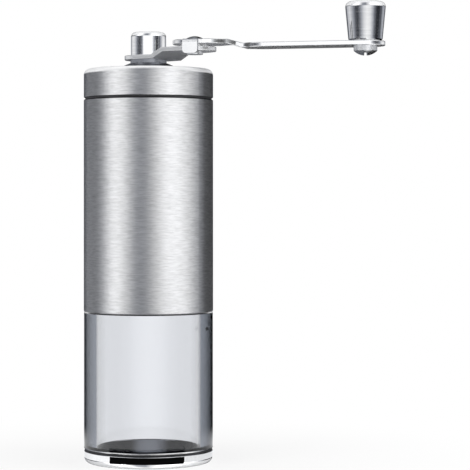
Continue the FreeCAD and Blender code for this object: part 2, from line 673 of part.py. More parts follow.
def quarter_biarc(start, start_way, end, end_way):
    """Two arcs that leave start and reach end along the given unit directions."""
    gap = end - start
    both = start_way + end_way
    spread = 2 * (1 - start_way.dot(end_way))
    along = gap.dot(both)
    tangent = (math.sqrt(along * along + spread * gap.dot(gap)) - along) / spread
    first = start + start_way * tangent
    second = end - end_way * tangent
    joint = (first + second) / 2
    arcs = []
    for low, corner, high in ((start, first, joint), (joint, second, end)):
        weight = (high - low).Length / (2 * tangent)
        middle = (low + corner * (2 * weight) + high) / (2 + 2 * weight)
        arcs.append(Part.Arc(low, middle, high).toShape())
    return arcs


def make_burr_spring():
    """Coil that presses the inner burr down on its dial, one wire on arcs of a helix."""
    radius = measure("spring_radius")
    wire = measure("spring_wire")
    turns = measure("spring_turns")
    foot = measure(f"{CORE_TOP} + spring_wire / 2 + seat_gap")
    rise = measure(f"{BEARING_LOW} - {CORE_TOP} - spring_wire - 2 * seat_gap")
    quarters = round(turns * 4)
    slope = rise / (turns * 2 * math.pi)

    def place(index):
        angle = turns * 2 * math.pi * index / quarters
        point = FreeCAD.Vector(radius * math.cos(angle), radius * math.sin(angle), foot + slope * angle)
        way = FreeCAD.Vector(-radius * math.sin(angle), radius * math.cos(angle), slope)
        return point, way.normalize()

    arcs = []
    for index in range(quarters):
        arcs.extend(quarter_biarc(*place(index), *place(index + 1)))
    path = Part.Wire(arcs)
    start, way = place(0)
    section = Part.Wire([Part.Circle(start, way, wire / 2).toShape()])
    print("burr spring's least gap between turns, mm:", round(rise / turns - wire, 3))
    spring = doc.addObject("Part::Feature", "burr_spring")
    spring.Label = "burr_spring"
    spring.Shape = path.makePipeShell([section], True, False)
    pieces.append(spring)


def make_dial():
    """Scalloped dial with a threaded insert under the inner burr; it sets how far the burr sits down."""
    dial = flat_ring("adjust_dial", "nut_radius + fit_gap", "dial_radius", DIAL_LOW, DIAL_TOP)
    centre = "dial_radius + scallop_radius / 2"
    scallop = draw_circle(new_sketch(dial, "XY_Plane", DIAL_LOW), centre, "0", "scallop_radius")
    repeat_round(dial, cut(dial, scallop, "dial_height", upwards=True), "dial_scallops")
    flat_ring("dial_nut", "thread_radius + fit_gap", "nut_radius", DIAL_LOW, DIAL_TOP)


def make_shaft():
    """Shaft with a threaded end, flats for the burr and for the crank, and the clip that carries it."""
    groove = "(shaft_radius - clip_depth)"
    round_top = f"({COLLAR_TOP} - collar_cone)"
    stacked_rod(
        "drive_shaft",
        [
            ("round", "thread_radius", SHAFT_LOW, CORE_LOW),
            ("hexagonal", "drive_flats", CORE_LOW, f"({BEARING_LOW} - seat_gap)"),
            ("round", "shaft_radius", f"({BEARING_LOW} - seat_gap)", f"({CLIP_LOW} - fit_gap)"),
            ("round", groove, f"({CLIP_LOW} - fit_gap)", f"({CLIP_TOP} + fit_gap)"),
            ("round", "shaft_radius", f"({CLIP_TOP} + fit_gap)", round_top),
            ("hexagonal", "shaft_flats", round_top, SHAFT_TOP),
        ],
    )
    flat_ring("shaft_clip", f"{groove} + fit_gap", f"{groove} + clip_width", CLIP_LOW, CLIP_TOP)


def make_lid():
    """Rounded steel cap, the plug inside it, its seal, and the bush that the collar turns in."""
    inner_round = "(lid_round - lid_wall)"
    hole = "(bush_radius + fit_gap)"
    turned(
        "lid_shell",
        [
            (LID_BORE, LID_LOW),
            ("body_radius - tube_edge", LID_LOW),
            ("body_radius", f"{LID_LOW} + tube_edge", "tube_edge", COUNTER_CLOCKWISE),
            ("body_radius", f"{LID_HIGH} - lid_round"),
            ("body_radius - lid_round", LID_HIGH, "lid_round", COUNTER_CLOCKWISE),
            (hole, LID_HIGH),
            (hole, f"{LID_HIGH} - lid_wall"),
            ("body_radius - lid_round", f"{LID_HIGH} - lid_wall"),
            (LID_BORE, f"{LID_HIGH} - lid_round", inner_round, CLOCKWISE),
        ],
    )
    insert_radius = f"({LID_BORE} - fit_gap)"
    turned(
        "lid_insert",
        [
            (PLUG_BORE, PLUG_LOW),
            (PLUG_RADIUS, PLUG_LOW),
            (PLUG_RADIUS, f"{PLUG_SEAL_Z} - {SEAL_HALF}"),
            (SEAL_FLOOR, f"{PLUG_SEAL_Z} - {SEAL_HALF}"),
            (SEAL_FLOOR, f"{PLUG_SEAL_Z} + {SEAL_HALF}"),
            (PLUG_RADIUS, f"{PLUG_SEAL_Z} + {SEAL_HALF}"),
            (PLUG_RADIUS, f"{BODY_HIGH} + seat_gap"),
            ("body_radius - flange_inset", f"{BODY_HIGH} + seat_gap"),
            ("body_radius - flange_inset", LID_LOW),
            (insert_radius, LID_LOW),
            (insert_radius, f"{LID_HIGH} - lid_round - lid_wall"),
            (f"{insert_radius} - lid_round", INSERT_TOP),
            (hole, INSERT_TOP),
            (hole, BUSH_LOW),
            ("boss_radius", BUSH_LOW),
            ("boss_radius", f"{INSERT_TOP} - web_thickness"),
            (PLUG_BORE, f"{INSERT_TOP} - web_thickness"),
        ],
    )
    sealing_ring("lid_seal", SEAL_RADIUS, PLUG_SEAL_Z)
    flat_ring("lid_bush", "collar_radius + fit_gap", "bush_radius", BUSH_LOW, LID_HIGH)


def make_collar():
    """Collar that turns with the crank in the lid, cone-shaped where it shows, and its clip below."""
    groove_low = f"({COLLAR_LOW} + collar_tail - seat_gap - clip_thickness - fit_gap)"
    groove_high = f"({COLLAR_LOW} + collar_tail - seat_gap + fit_gap)"
    groove = "(collar_radius - clip_depth)"
    bore = "(shaft_radius + collar_bore_gap)"
    turned(
        "drive_collar",
        [
            (bore, COLLAR_LOW),
            ("collar_radius", COLLAR_LOW),
            ("collar_radius", groove_low),
            (groove, groove_low),
            (groove, groove_high),
            ("collar_radius", groove_high),
            ("collar_radius", f"{LID_HIGH} + fit_gap"),
            ("collar_flange", f"{LID_HIGH} + fit_gap"),
            ("collar_neck", COLLAR_TOP),
            (bore, COLLAR_TOP),
        ],
    )
    clip_low = f"({groove_low} + fit_gap)"
    clip_high = f"({groove_high} - fit_gap)"
    flat_ring("collar_clip", f"{groove} + fit_gap", f"{groove} + clip_width", clip_low, clip_high)


def make_crank_hub():
    """Hub whose socket fits the shaft's flats, and the cap that clamps the bracket on it."""
    hub = turned(
        "hub_socket",
        [
            ("0", HUB_LOW),
            ("hub_flange_radius", HUB_LOW),
            ("hub_flange_radius", BRACKET_LOW),
            ("spigot_radius", BRACKET_LOW),
            ("spigot_radius", SPIGOT_TOP),
            ("0", SPIGOT_TOP),
        ],
    )
    hexagon = draw(new_sketch(hub, "XY_Plane", HUB_LOW), hexagon_steps("shaft_flats + 2 * fit_gap"))
    cut(hub, hexagon, f"{SOCKET_TOP} - {HUB_LOW}", upwards=True)
    turned(
        "hub_cap",
        [
            ("spigot_radius + fit_gap", BRACKET_TOP),
            ("cap_radius", BRACKET_TOP),
            ("cap_radius", f"{CAP_TOP} - cap_round"),
            ("cap_radius - cap_round", CAP_TOP, "cap_round", COUNTER_CLOCKWISE),
            ("0", CAP_TOP),
            ("0", f"{SPIGOT_TOP} + fit_gap"),
            ("spigot_radius + fit_gap", f"{SPIGOT_TOP} + fit_gap"),
        ],
    )


def trim_to_plan(body, steps, low, reach, half_width, tall):
    """Cut away everything of a padded plate outside a plan outline."""
    sketch = new_sketch(body, "XY_Plane", low)
    draw(sketch, box_steps(f"-{reach}", f"-{half_width}", reach, half_width))
    draw(sketch, steps)
    cut(body, sketch, tall, upwards=True)


def make_bracket():
    """Stepped plate from hub to rivet, with round ends joined by their tangents."""
    lean = "((hub_radius - bracket_end) / rivet_reach)"
    upright = f"sqrt(1 - {lean} * {lean})"
    shift = "(plate_thickness * tan(atan(step_rise / step_run) / 2))"
    step_end = "(step_start + step_run)"
    left = "(-2 * hub_radius)"
    right = "(rivet_reach + 2 * bracket_end)"
    bracket = new_body("crank_bracket")
    side = [
        (left, BRACKET_LOW),
        ("step_start", BRACKET_LOW),
        (step_end, RAISED_LOW),
        (right, RAISED_LOW),
        (right, RAISED_TOP),
        (f"{step_end} - {shift}", RAISED_TOP),
        (f"step_start - {shift}", BRACKET_TOP),
        (left, BRACKET_TOP),
    ]
    pad(bracket, draw(new_sketch(bracket, "XZ_Plane"), side), "4 * hub_radius", symmetric=True)
    plan = [
        ("rivet_reach + bracket_end", "0", "bracket_end", COUNTER_CLOCKWISE),
        (f"rivet_reach + bracket_end * {lean}", f"bracket_end * {upright}", "bracket_end", COUNTER_CLOCKWISE),
        (f"hub_radius * {lean}", f"hub_radius * {upright}"),
        ("-hub_radius", "0", "hub_radius", COUNTER_CLOCKWISE),
        (f"hub_radius * {lean}", f"-hub_radius * {upright}", "hub_radius", COUNTER_CLOCKWISE),
        (f"rivet_reach + bracket_end * {lean}", f"-bracket_end * {upright}"),
    ]
    tall = f"{RAISED_TOP} - {BRACKET_LOW}"
    trim_to_plan(bracket, plan, BRACKET_LOW, "(rivet_reach + 3 * hub_radius)", "(3 * hub_radius)", tall)
    holes = draw_circle(new_sketch(bracket, "XY_Plane", BRACKET_LOW), "0", "0", "spigot_radius + fit_gap")
    draw_circle(holes, "rivet_reach", "0", "rivet_radius + fit_gap")
    cut(bracket, holes, tall, upwards=True)
    round_edges(bracket, lambda edge: rim_of_plate(edge, measure("cap_radius")), "plate_edge")


def rim_of_plate(edge, least_bend):
    """True for edges that run along the rim of a plate, not round its holes or up its sides."""
    box = edge.BoundBox
    upright = box.XLength + box.YLength < box.ZLength
    if upright:
        return False
    curve = edge.Curve
    round_hole = isinstance(curve, Part.Circle) and curve.Radius < least_bend
    across = abs(edge.valueAt(edge.FirstParameter).y + edge.valueAt(edge.LastParameter).y) < SAME_PLACE
    straight_across = isinstance(curve, Part.Line) and across
    return not round_hole and not straight_across


def double_bend(start, end, share, first_turn):
    """Steps of two arcs that lead from one line to a parallel one; the first arc takes a share of the way."""
    run = f"({end[0]} - {start[0]})"
    rise = f"({end[1]} - {start[1]})"
    both_bends = f"(({run} * {run} + {rise} * {rise}) / (2 * abs({rise})))"
    meeting = [f"({near} + {share} * ({far} - {near}))" for near, far in zip(start, end)]
    first_bend = f"{share} * {both_bends}"
    second_bend = f"(1 - {share}) * {both_bends}"
    return [(*meeting, first_bend, first_turn), (*end, second_bend, -first_turn)]


def make_arm():
    """Joggled plate from rivet to knob, with a waist past the rivet and a stop tab bent down beside it."""
    half = "(arm_width / 2)"
    waist = "(waist_width / 2)"
    flare_end = "(waist_end + waist_flare)"
    pad_side = ("neck_start", "-pad_radius")
    shift = "(plate_thickness * tan(atan(joggle_drop / joggle_run) / 2))"
    joggle_end = "(joggle_start + joggle_run)"
    far = "(arm_length + arm_width)"
    near = "(-2 * pad_radius)"
    arm = new_body("crank_arm", "rivet_reach", "0", "fold_angle")
    side = [
        (near, PAD_LOW),
        ("joggle_start", PAD_LOW),
        (joggle_end, ARM_LOW),
        (far, ARM_LOW),
        (far, ARM_TOP),
        (f"{joggle_end} + {shift}", ARM_TOP),
        (f"joggle_start + {shift}", PAD_TOP),
        (near, PAD_TOP),
    ]
    pad(arm, draw(new_sketch(arm, "XZ_Plane"), side), "4 * pad_radius", symmetric=True)
    plan = [
        ("arm_length + arm_width / 2", "0", half, COUNTER_CLOCKWISE),
        ("arm_length", half, half, COUNTER_CLOCKWISE),
        (flare_end, half),
        *double_bend((flare_end, half), ("waist_end", waist), SHOULDER_SHARE, COUNTER_CLOCKWISE),
        ("waist_start", waist),
        *double_bend(("waist_start", waist), ("neck_start", "pad_radius"), HOLLOW_SHARE, CLOCKWISE),
        ("0", "pad_radius"),
        ("-pad_radius", "0", "pad_radius", COUNTER_CLOCKWISE),
        ("0", "-pad_radius", "pad_radius", COUNTER_CLOCKWISE),
        pad_side,
        *double_bend(pad_side, ("waist_start", f"-{waist}"), SHOULDER_SHARE, COUNTER_CLOCKWISE),
        ("waist_end", f"-{waist}"),
        *double_bend(("waist_end", f"-{waist}"), (flare_end, f"-{half}"), HOLLOW_SHARE, CLOCKWISE),
        ("arm_length", f"-{half}"),
    ]
    tall = f"{PAD_TOP} - {ARM_LOW}"
    trim_to_plan(arm, plan, ARM_LOW, "(arm_length + 2 * arm_width)", "(3 * pad_radius)", tall)
    holes = draw_circle(new_sketch(arm, "XY_Plane", ARM_LOW), "0", "0", "rivet_radius + fit_gap")
    draw_circle(holes, "arm_length", "0", "screw_radius + fit_gap")
    cut(arm, holes, tall, upwards=True)
    round_edges(arm, lambda edge: rim_of_plate(edge, measure("rivet_radius + 2 * fit_gap")), "plate_edge")
    add_stop_tab(arm)


def add_stop_tab(arm):
    """Tab bent down from the arm's side, clear of the bracket's round end."""
    inner = "(bracket_end + tab_gap)"
    outer = f"({inner} + plate_thickness)"
    left = "(tab_shift - tab_width / 2)"
    right = "(tab_shift + tab_width / 2)"
    bridge = draw(new_sketch(arm, "XY_Plane", PAD_LOW), box_steps(left, f"-{outer}", right, "-rivet_head"))
    pad(arm, bridge, "plate_thickness")
    low = f"({PAD_LOW} - tab_drop)"
    tab = [
        (f"{right} - tab_corner", low),
        (right, f"{low} + tab_corner", "tab_corner", COUNTER_CLOCKWISE),
        (right, PAD_TOP),
        (left, PAD_TOP),
        (left, f"{low} + tab_corner"),
        (f"{left} + tab_corner", low, "tab_corner", COUNTER_CLOCKWISE),
    ]
    pad(arm, draw(new_sketch(arm, "XZ_Plane", inner), tab), "plate_thickness")
    doc.recompute()
    height = measure(PAD_TOP)
    depth = -measure(outer)

    def bend_edge(edge):
        ends = [edge.valueAt(edge.FirstParameter), edge.valueAt(edge.LastParameter)]
        return all(abs(point.z - height) < SAME_PLACE and abs(point.y - depth) < SAME_PLACE for point in ends)

    round_edges(arm, bend_edge, "tab_bend")


def make_fold_joint():
    """Domed rivet through bracket, washer and arm, and the washer itself."""
    dome = "((rivet_head * rivet_head + rivet_crown * rivet_crown) / (2 * rivet_crown))"
    tail_low = f"({RAISED_LOW} - rivet_tail_height)"
    turned(
        "fold_rivet",
        [
            ("0", tail_low),
            ("rivet_tail", tail_low),
            ("rivet_tail", RAISED_LOW),
            ("rivet_radius", RAISED_LOW),
            ("rivet_radius", PAD_TOP),
            ("rivet_head", PAD_TOP),
            ("0", f"{PAD_TOP} + rivet_crown", dome, COUNTER_CLOCKWISE),
        ],
        x="rivet_reach",
    )
    hole = "rivet_radius + fit_gap"
    flat_ring("fold_washer", hole, "fold_washer_radius", RAISED_TOP, PAD_LOW, x="rivet_reach")


def make_knob():
    """Tapered knob on an axle that a slotted screw clamps to the arm, with a plug in its top."""
    lean = "((knob_top - knob_bottom) / knob_height)"
    hole = "axle_radius + fit_gap"
    cap_low = f"{KNOB_HIGH} - knob_cap_height"
    turned(
        "knob_body",
        [
            (hole, KNOB_LOW),
            ("knob_bottom - knob_foot", KNOB_LOW),
            (f"knob_bottom + knob_foot * {lean}", f"{KNOB_LOW} + knob_foot"),
            (f"knob_top - knob_round * {lean}", f"{KNOB_HIGH} - knob_round"),
            ("knob_top - knob_round", KNOB_HIGH, "knob_round", COUNTER_CLOCKWISE),
            ("knob_cap_radius + fit_gap", KNOB_HIGH),
            ("knob_cap_radius + fit_gap", f"{AXLE_HEAD_LOW} - seat_gap"),
            (hole, f"{AXLE_HEAD_LOW} - seat_gap"),
        ],
        x=KNOB_X,
        y=KNOB_Y,
    )
    flat_ring("knob_washer", hole, "knob_washer_radius", ARM_TOP, KNOB_LOW, x=KNOB_X, y=KNOB_Y)
    turned(
        "knob_axle",
        [
            ("screw_radius + fit_gap", ARM_TOP),
            ("axle_radius", ARM_TOP),
            ("axle_radius", AXLE_HEAD_LOW),
            ("axle_head", AXLE_HEAD_LOW),
            ("axle_head", AXLE_TOP),
            ("screw_radius + fit_gap", AXLE_TOP),
        ],
        x=KNOB_X,
        y=KNOB_Y,
    )
    flat_ring("knob_cap", "0", "knob_cap_radius", cap_low, KNOB_HIGH, x=KNOB_X, y=KNOB_Y)
    make_knob_screw()


def make_knob_screw():
    """Slotted screw with a crowned head under the arm."""
    crown = "((screw_head * screw_head + screw_crown * screw_crown) / (2 * screw_crown))"
    rim_low = f"({ARM_LOW} - screw_rim)"
    low = f"({rim_low} - screw_crown)"
    screw = turned(
        "knob_screw",
        [
            ("0", low),
            ("screw_head", rim_low, crown, COUNTER_CLOCKWISE),
            ("screw_head", ARM_LOW),
            ("screw_radius", ARM_LOW),
            ("screw_radius", AXLE_HEAD_LOW),
            ("0", AXLE_HEAD_LOW),
        ],
        x=KNOB_X,
        y=KNOB_Y,
        turn="slot_angle",
    )
    slot = box_steps("-2 * screw_head", "-slot_width / 2", "2 * screw_head", "slot_width / 2")
    cut(screw, draw(new_sketch(screw, "XY_Plane", low), slot), "slot_depth", upwards=True)


def write_parts():
    """Check every object and each piece's shape, then write one file for each piece."""
    doc.recompute()
    for item in doc.Objects:
        if "Invalid" in item.State or "Error" in item.State:
            raise RuntimeError(f"{item.Name} failed: {item.State}")
    for piece in pieces:
        if piece.Shape.isNull() or not piece.Shape.isValid() or not piece.Shape.Solids:
            raise RuntimeError(f"{piece.Label} has no valid solid")
    os.makedirs("parts", exist_ok=True)
    for piece in pieces:
        piece.Shape.exportStep(f"parts/{piece.Label}.step")
    print(len(pieces), "pieces written")


fill_sheet()
make_jar()
make_body()
make_burr_housing()
make_burrs()
make_dial()
make_shaft()
make_lid()
make_collar()
make_crank_hub()
make_bracket()
make_arm()
make_fold_joint()
make_knob()
write_parts()
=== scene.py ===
"""Looks of a slim hand coffee grinder: brushed steel, polished crank, clear jar, and a plain studio."""

import json
import math

import bpy
import numpy as np
from bpy.props import FloatProperty, FloatVectorProperty, PointerProperty
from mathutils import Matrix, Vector

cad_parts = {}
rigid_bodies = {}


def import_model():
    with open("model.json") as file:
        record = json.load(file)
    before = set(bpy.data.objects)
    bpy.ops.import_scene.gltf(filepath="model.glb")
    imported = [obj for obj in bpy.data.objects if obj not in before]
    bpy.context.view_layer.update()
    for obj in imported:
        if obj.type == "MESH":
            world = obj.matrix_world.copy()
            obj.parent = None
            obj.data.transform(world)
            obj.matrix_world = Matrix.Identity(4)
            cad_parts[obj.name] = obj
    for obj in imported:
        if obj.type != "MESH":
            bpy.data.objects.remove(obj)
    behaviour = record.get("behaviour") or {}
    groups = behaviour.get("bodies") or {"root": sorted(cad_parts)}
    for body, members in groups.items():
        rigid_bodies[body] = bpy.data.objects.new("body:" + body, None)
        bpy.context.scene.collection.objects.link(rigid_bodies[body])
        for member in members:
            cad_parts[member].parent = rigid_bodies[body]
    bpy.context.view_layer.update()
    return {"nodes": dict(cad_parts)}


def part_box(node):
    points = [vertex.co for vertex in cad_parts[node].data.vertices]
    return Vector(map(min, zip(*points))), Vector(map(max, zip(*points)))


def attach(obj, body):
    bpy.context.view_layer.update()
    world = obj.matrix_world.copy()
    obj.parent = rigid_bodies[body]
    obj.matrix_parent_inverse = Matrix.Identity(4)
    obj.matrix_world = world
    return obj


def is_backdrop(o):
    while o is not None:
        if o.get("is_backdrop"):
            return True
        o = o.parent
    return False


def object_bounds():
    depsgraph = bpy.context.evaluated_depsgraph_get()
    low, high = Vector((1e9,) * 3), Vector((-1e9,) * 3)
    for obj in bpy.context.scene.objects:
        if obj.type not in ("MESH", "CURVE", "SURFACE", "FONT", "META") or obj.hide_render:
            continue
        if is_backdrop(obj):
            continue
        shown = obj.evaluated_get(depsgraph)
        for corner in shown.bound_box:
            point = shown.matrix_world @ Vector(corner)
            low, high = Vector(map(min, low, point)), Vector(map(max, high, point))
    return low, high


bl_info = {
    "name": "Hand grinder looks",
    "version": (1, 0, 0),
    "blender": (4, 5, 0),
    "location": "View3D > Sidebar > Grinder",
    "description": "Finishes and studio for a slim hand coffee grinder",
    "category": "Object",
}


def clear_scene():
    """Remove whatever the empty file starts with."""
    for thing in list(bpy.data.objects):
        bpy.data.objects.remove(thing, do_unlink=True)


clear_scene()
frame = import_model()

IMAGE_SIDE = 470
SENSOR_WIDTH = 36.0
# Upright, but tilted a little so that it is never at right angles to a level face.
NEARLY_UP = (0.03, 0.02, 1.0)
# Middle range of a noise, which holds nearly all of it.
NOISE_LOW = 0.3
NOISE_HIGH = 0.7
# Depths of the painted highlights on the rims under the tops of lid, hub and knob, and heights of the painted
# highlight at the base's foot.
LID_RIM = 0.0019
HUB_RIM = 0.0014
KNOB_RIM = 0.0018
RIM_SKIN = 0.00005
RIM_TOP_BLUR = 0.00003
RIM_FOOT_BLUR = 0.0003
FOOT_RIM = (-0.001, 0.0019)
# Share of edge-on sight about which the painted rim highlight comes on, and half the range over which it
# does.
RIM_TURN = 0.25
RIM_TURN_BLUR = 0.18
# How far the painted shade at the joint under the lid reaches below the tube's top and above the lid's foot.
SEAM_BELOW = 0.00035
SEAM_ABOVE = 0.00015
# Skin of the jar's outer wall, and how far under the gasket's foot the base counts as the jar's floor.
WALL_SKIN = 0.001
FLOOR_STEP = 0.0002
# How far the stud stands proud and is sunk, and how far the shoulder's dark ring of painted shade is sunk and
# hangs under the tube.
STUD_PROUD = 0.0003
STUD_SUNK = 0.0001
LINE_SUNK = 0.00016
LINE_GAP = 0.00004
# Shares of bare metal in the finishes of the crank's plates.
ARM_METAL = 0.92
RIVET_METAL = 0.94
BRACKET_METAL = 0.5
COLLAR_METAL = 0.8

BODY_NODES = ("body_tube", "lid_shell")
SATIN_NODES = ("fold_rivet", "knob_screw")
COLLAR_NODES = ("drive_collar", "hub_socket")
DARK_NODES = (
    "lid_insert",
    "lid_bush",
    "upper_spider",
    "burr_housing",
    "burr_retainer",
    "burr_core",
    "adjust_dial",
)
SEAL_NODES = ("base_gasket", "neck_seal", "lid_seal")
INNER_STEEL_NODES = (
    "collar_clip",
    "fold_washer",
    "knob_axle",
    "knob_washer",
    "drive_shaft",
    "shaft_clip",
    "retainer_screws",
    "burr_spring",
    "detent_washer",
)
# Pieces that the others don't mirror.
UNMIRRORED_NODES = ("crank_arm", "crank_bracket", "fold_rivet", "fold_washer", "knob_body", "knob_cap")
BRASS_NODES = ("upper_bush", "lower_bush", "dial_nut")
BURR_NODES = ("outer_burr", "inner_burr")


class GrinderFinish(bpy.types.PropertyGroup):
    """Colours and gloss of the grinder's surfaces."""

    steel: FloatVectorProperty(
        name="Brushed steel",
        description="Colour of the body and lid",
        subtype="COLOR",
        default=(0.62, 0.62, 0.625),
    )
    steel_gloss: FloatProperty(
        name="Brushed roughness",
        description="Roughness across the brush lines",
        default=0.4,
        min=0.0,
        max=1.0,
    )
    polish: FloatVectorProperty(
        name="Polished steel",
        description="Colour of the crank and base",
        subtype="COLOR",
        default=(0.8, 0.8, 0.805),
    )
    polish_gloss: FloatProperty(
        name="Polished roughness",
        description="Roughness of hub and knob",
        default=0.06,
        min=0.0,
        max=1.0,
    )
    # Also the colour of the painted sheen on the dark ring at the jar's shoulder.
    satin: FloatVectorProperty(
        name="Satin steel",
        description="Colour of the crank's bracket, rivet and screw",
        subtype="COLOR",
        default=(0.74, 0.745, 0.755),
    )
    # Painted highlight: colour that the rounded rims of lid, hub, knob and the base's foot pass into where
    # they are seen edge on.
    rim: FloatVectorProperty(
        name="Rounded rims",
        description="Colour of the rounded upper rims",
        subtype="COLOR",
        default=(0.9, 0.905, 0.915),
    )
    collar: FloatVectorProperty(
        name="Collar",
        description="Colour of the collar under the crank",
        subtype="COLOR",
        default=(0.33, 0.34, 0.37),
    )
    arm_gloss: FloatProperty(
        name="Arm roughness",
        description="Roughness of the crank's arm",
        default=0.12,
        min=0.0,
        max=1.0,
    )
    bracket_gloss: FloatProperty(
        name="Bracket roughness",
        description="Roughness of the crank's bracket",
        default=0.13,
        min=0.0,
        max=1.0,
    )
    satin_gloss: FloatProperty(
        name="Satin roughness",
        description="Roughness of the rivet, screw and collar",
        default=0.24,
        min=0.0,
        max=1.0,
    )
    floor_steel: FloatVectorProperty(
        name="Jar floor",
        description="Colour of the floor inside the jar",
        subtype="COLOR",
        default=(0.1, 0.104, 0.115),
    )
    acrylic: FloatVectorProperty(
        name="Clear acrylic",
        description="Tint of the jar",
        subtype="COLOR",
        default=(0.938, 0.949, 0.973),
    )
    # Colour of the painted shade on the jar's wall where it is seen edge on.
    acrylic_edge_shade: FloatVectorProperty(
        name="Acrylic edge",
        description="Tint of the jar seen edge on",
        subtype="COLOR",
        default=(0.05, 0.058, 0.075),
    )
    # Also the colour of the painted shade at the joint under the lid and of the dark ring of painted shade at
    # the jar's shoulder.
    rubber: FloatVectorProperty(
        name="Rubber",
        description="Colour of the seals",
        subtype="COLOR",
        default=(0.012, 0.012, 0.014),
    )
    plastic: FloatVectorProperty(
        name="Dark plastic",
        description="Colour of the inner mouldings",
        subtype="COLOR",
        default=(0.02, 0.02, 0.022),
    )
    ceramic: FloatVectorProperty(
        name="Ceramic",
        description="Colour of the burrs",
        subtype="COLOR",
        default=(0.82, 0.8, 0.75),
    )
    brass: FloatVectorProperty(
        name="Brass",
        description="Colour of the bushes",
        subtype="COLOR",
        default=(0.72, 0.55, 0.28),
    )


class GrinderTrim(bpy.types.PropertyGroup):
    """Place and size of the stud, the bead and the dark ring of painted shade on the jar."""

    stud_angle: FloatProperty(
        name="Stud angle",
        description="Direction round the jar",
        subtype="ANGLE",
        default=math.radians(14.5),
    )
    stud_height: FloatProperty(
        name="Stud height",
        description="Height above the table",
        subtype="DISTANCE",
        unit="LENGTH",
        default=0.052,
    )
    stud_length: FloatProperty(
        name="Stud length",
        description="Half its length round the jar",
        subtype="DISTANCE",
        unit="LENGTH",
        default=0.0013,
    )
    stud_rise: FloatProperty(
        name="Stud rise",
        description="Half its height on the wall",
        subtype="DISTANCE",
        unit="LENGTH",
        default=0.0007,
    )
    bead_depth: FloatProperty(
        name="Bead depth",
        description="Half the depth of the bead at the jar's foot",
        unit="LENGTH",
        default=0.0003,
    )
    bead_height: FloatProperty(
        name="Bead height",
        description="Half the height of the bead at the jar's foot",
        unit="LENGTH",
        default=0.00032,
    )
    line_depth: FloatProperty(
        name="Line depth",
        description="Half the depth of the seal line at the shoulder",
        unit="LENGTH",
        default=0.00022,
    )
    line_height: FloatProperty(
        name="Line height",
        description="Half the height of the seal line",
        unit="LENGTH",
        default=0.0003,
    )


class GrinderStudio(bpy.types.PropertyGroup):
    """Camera and light."""

    azimuth: FloatProperty(
        name="Azimuth",
        description="Camera's turn round the grinder",
        subtype="ANGLE",
        default=math.radians(38.0),
    )
    distance: FloatProperty(
        name="Distance",
        description="Camera's distance from the axis",
        subtype="DISTANCE",
        unit="LENGTH",
        default=0.77,
    )
    side: FloatProperty(
        name="Side step",
        description="Camera's step to its right",
        subtype="DISTANCE",
        unit="LENGTH",
        default=0.03349,
    )
    height: FloatProperty(
        name="Eye height",
        description="Camera's height",
        subtype="DISTANCE",
        unit="LENGTH",
        default=0.102,
    )
    focal_pixels: FloatProperty(
        name="Focal length",
        description="Focal length in pixels of the picture",
        default=1988.0,
    )
    horizon_row: FloatProperty(
        name="Horizon",
        description="Row of the picture at eye height",
        default=198.0,
    )
    key_power: FloatProperty(
        name="Key light",
        description="Power of the left softbox",
        subtype="POWER",
        unit="POWER",
        default=4.0,
    )
    fill_power: FloatProperty(
        name="Fill light",
        description="Power of the right softbox",
        subtype="POWER",
        unit="POWER",
        default=3.0,
    )
    daylight: FloatProperty(
        name="Room light",
        description="Level of the even light from all round",
        default=0.6,
        min=0.0,
    )


def add_node(tree, kind, **settings):
    """Add a shader node and set its named settings."""
    made = tree.nodes.new(kind)
    for name, setting in settings.items():
        setattr(made, name, setting)
    return made


def set_inputs(node, **levels):
    """Set constants on a node's own sockets; underscores stand for spaces in their names."""
    for name, level in levels.items():
        node.inputs[name.replace("_", " ")].default_value = level


def new_finish(name):
    """A new material with one principled shader; gives the material, its tree and the shader."""
    material = bpy.data.materials.new(name)
    material.use_nodes = True
    shader = material.node_tree.nodes["Principled BSDF"]
    return material, material.node_tree, shader


def opaque(colour):
    """A colour with full alpha."""
    return (*colour, 1.0)


def shaded(colour, share):
    """A colour made lighter or darker by a share, with full alpha."""
    return (*(min(part * share, 1.0) for part in colour), 1.0)


def object_noise(tree, stretch, detail=3.0):
    """Noise on Object coordinates, scaled apart along X, Y and Z; gives its factor socket."""
    coords = add_node(tree, "ShaderNodeTexCoord")
    mapping = add_node(tree, "ShaderNodeMapping")
    mapping.inputs["Scale"].default_value = stretch
    noise = add_node(tree, "ShaderNodeTexNoise")
    set_inputs(noise, Scale=1.0, Detail=detail, Roughness=0.6)
    tree.links.new(coords.outputs["Object"], mapping.inputs["Vector"])
    tree.links.new(mapping.outputs["Vector"], noise.inputs["Vector"])
    return noise.outputs["Fac"]


def between(tree, factor, low, high):
    """A number that runs from low to high as a factor runs over its middle range."""
    ranged = add_node(tree, "ShaderNodeMapRange")
    set_inputs(ranged, From_Min=NOISE_LOW, From_Max=NOISE_HIGH, To_Min=low, To_Max=high)
    tree.links.new(factor, ranged.inputs["Value"])
    return ranged.outputs["Result"]


def ramp(tree, factor, stops):
    """Colour ramp through stops of (place, colour)."""
    made = add_node(tree, "ShaderNodeValToRGB")
    band = made.color_ramp
    while len(band.elements) < len(stops):
        band.elements.new(1.0)
    for element, (place, colour) in zip(band.elements, stops):
        element.position = place
        element.color = colour
    tree.links.new(factor, made.inputs["Fac"])
    return made.outputs["Color"]


def mottled(tree, factor, colour, darker, lighter):
    """A colour that runs from a darker to a lighter shade as a factor runs over its middle range."""
    return ramp(tree, factor, [(NOISE_LOW, shaded(colour, darker)), (NOISE_HIGH, shaded(colour, lighter))])


def step_at(tree, value, edge, width):
    """Smooth step of a number from 0 to 1 about an edge."""
    ranged = add_node(tree, "ShaderNodeMapRange", interpolation_type="SMOOTHSTEP")
    set_inputs(ranged, From_Min=edge - width, From_Max=edge + width)
    tree.links.new(value, ranged.inputs["Value"])
    return ranged.outputs["Result"]


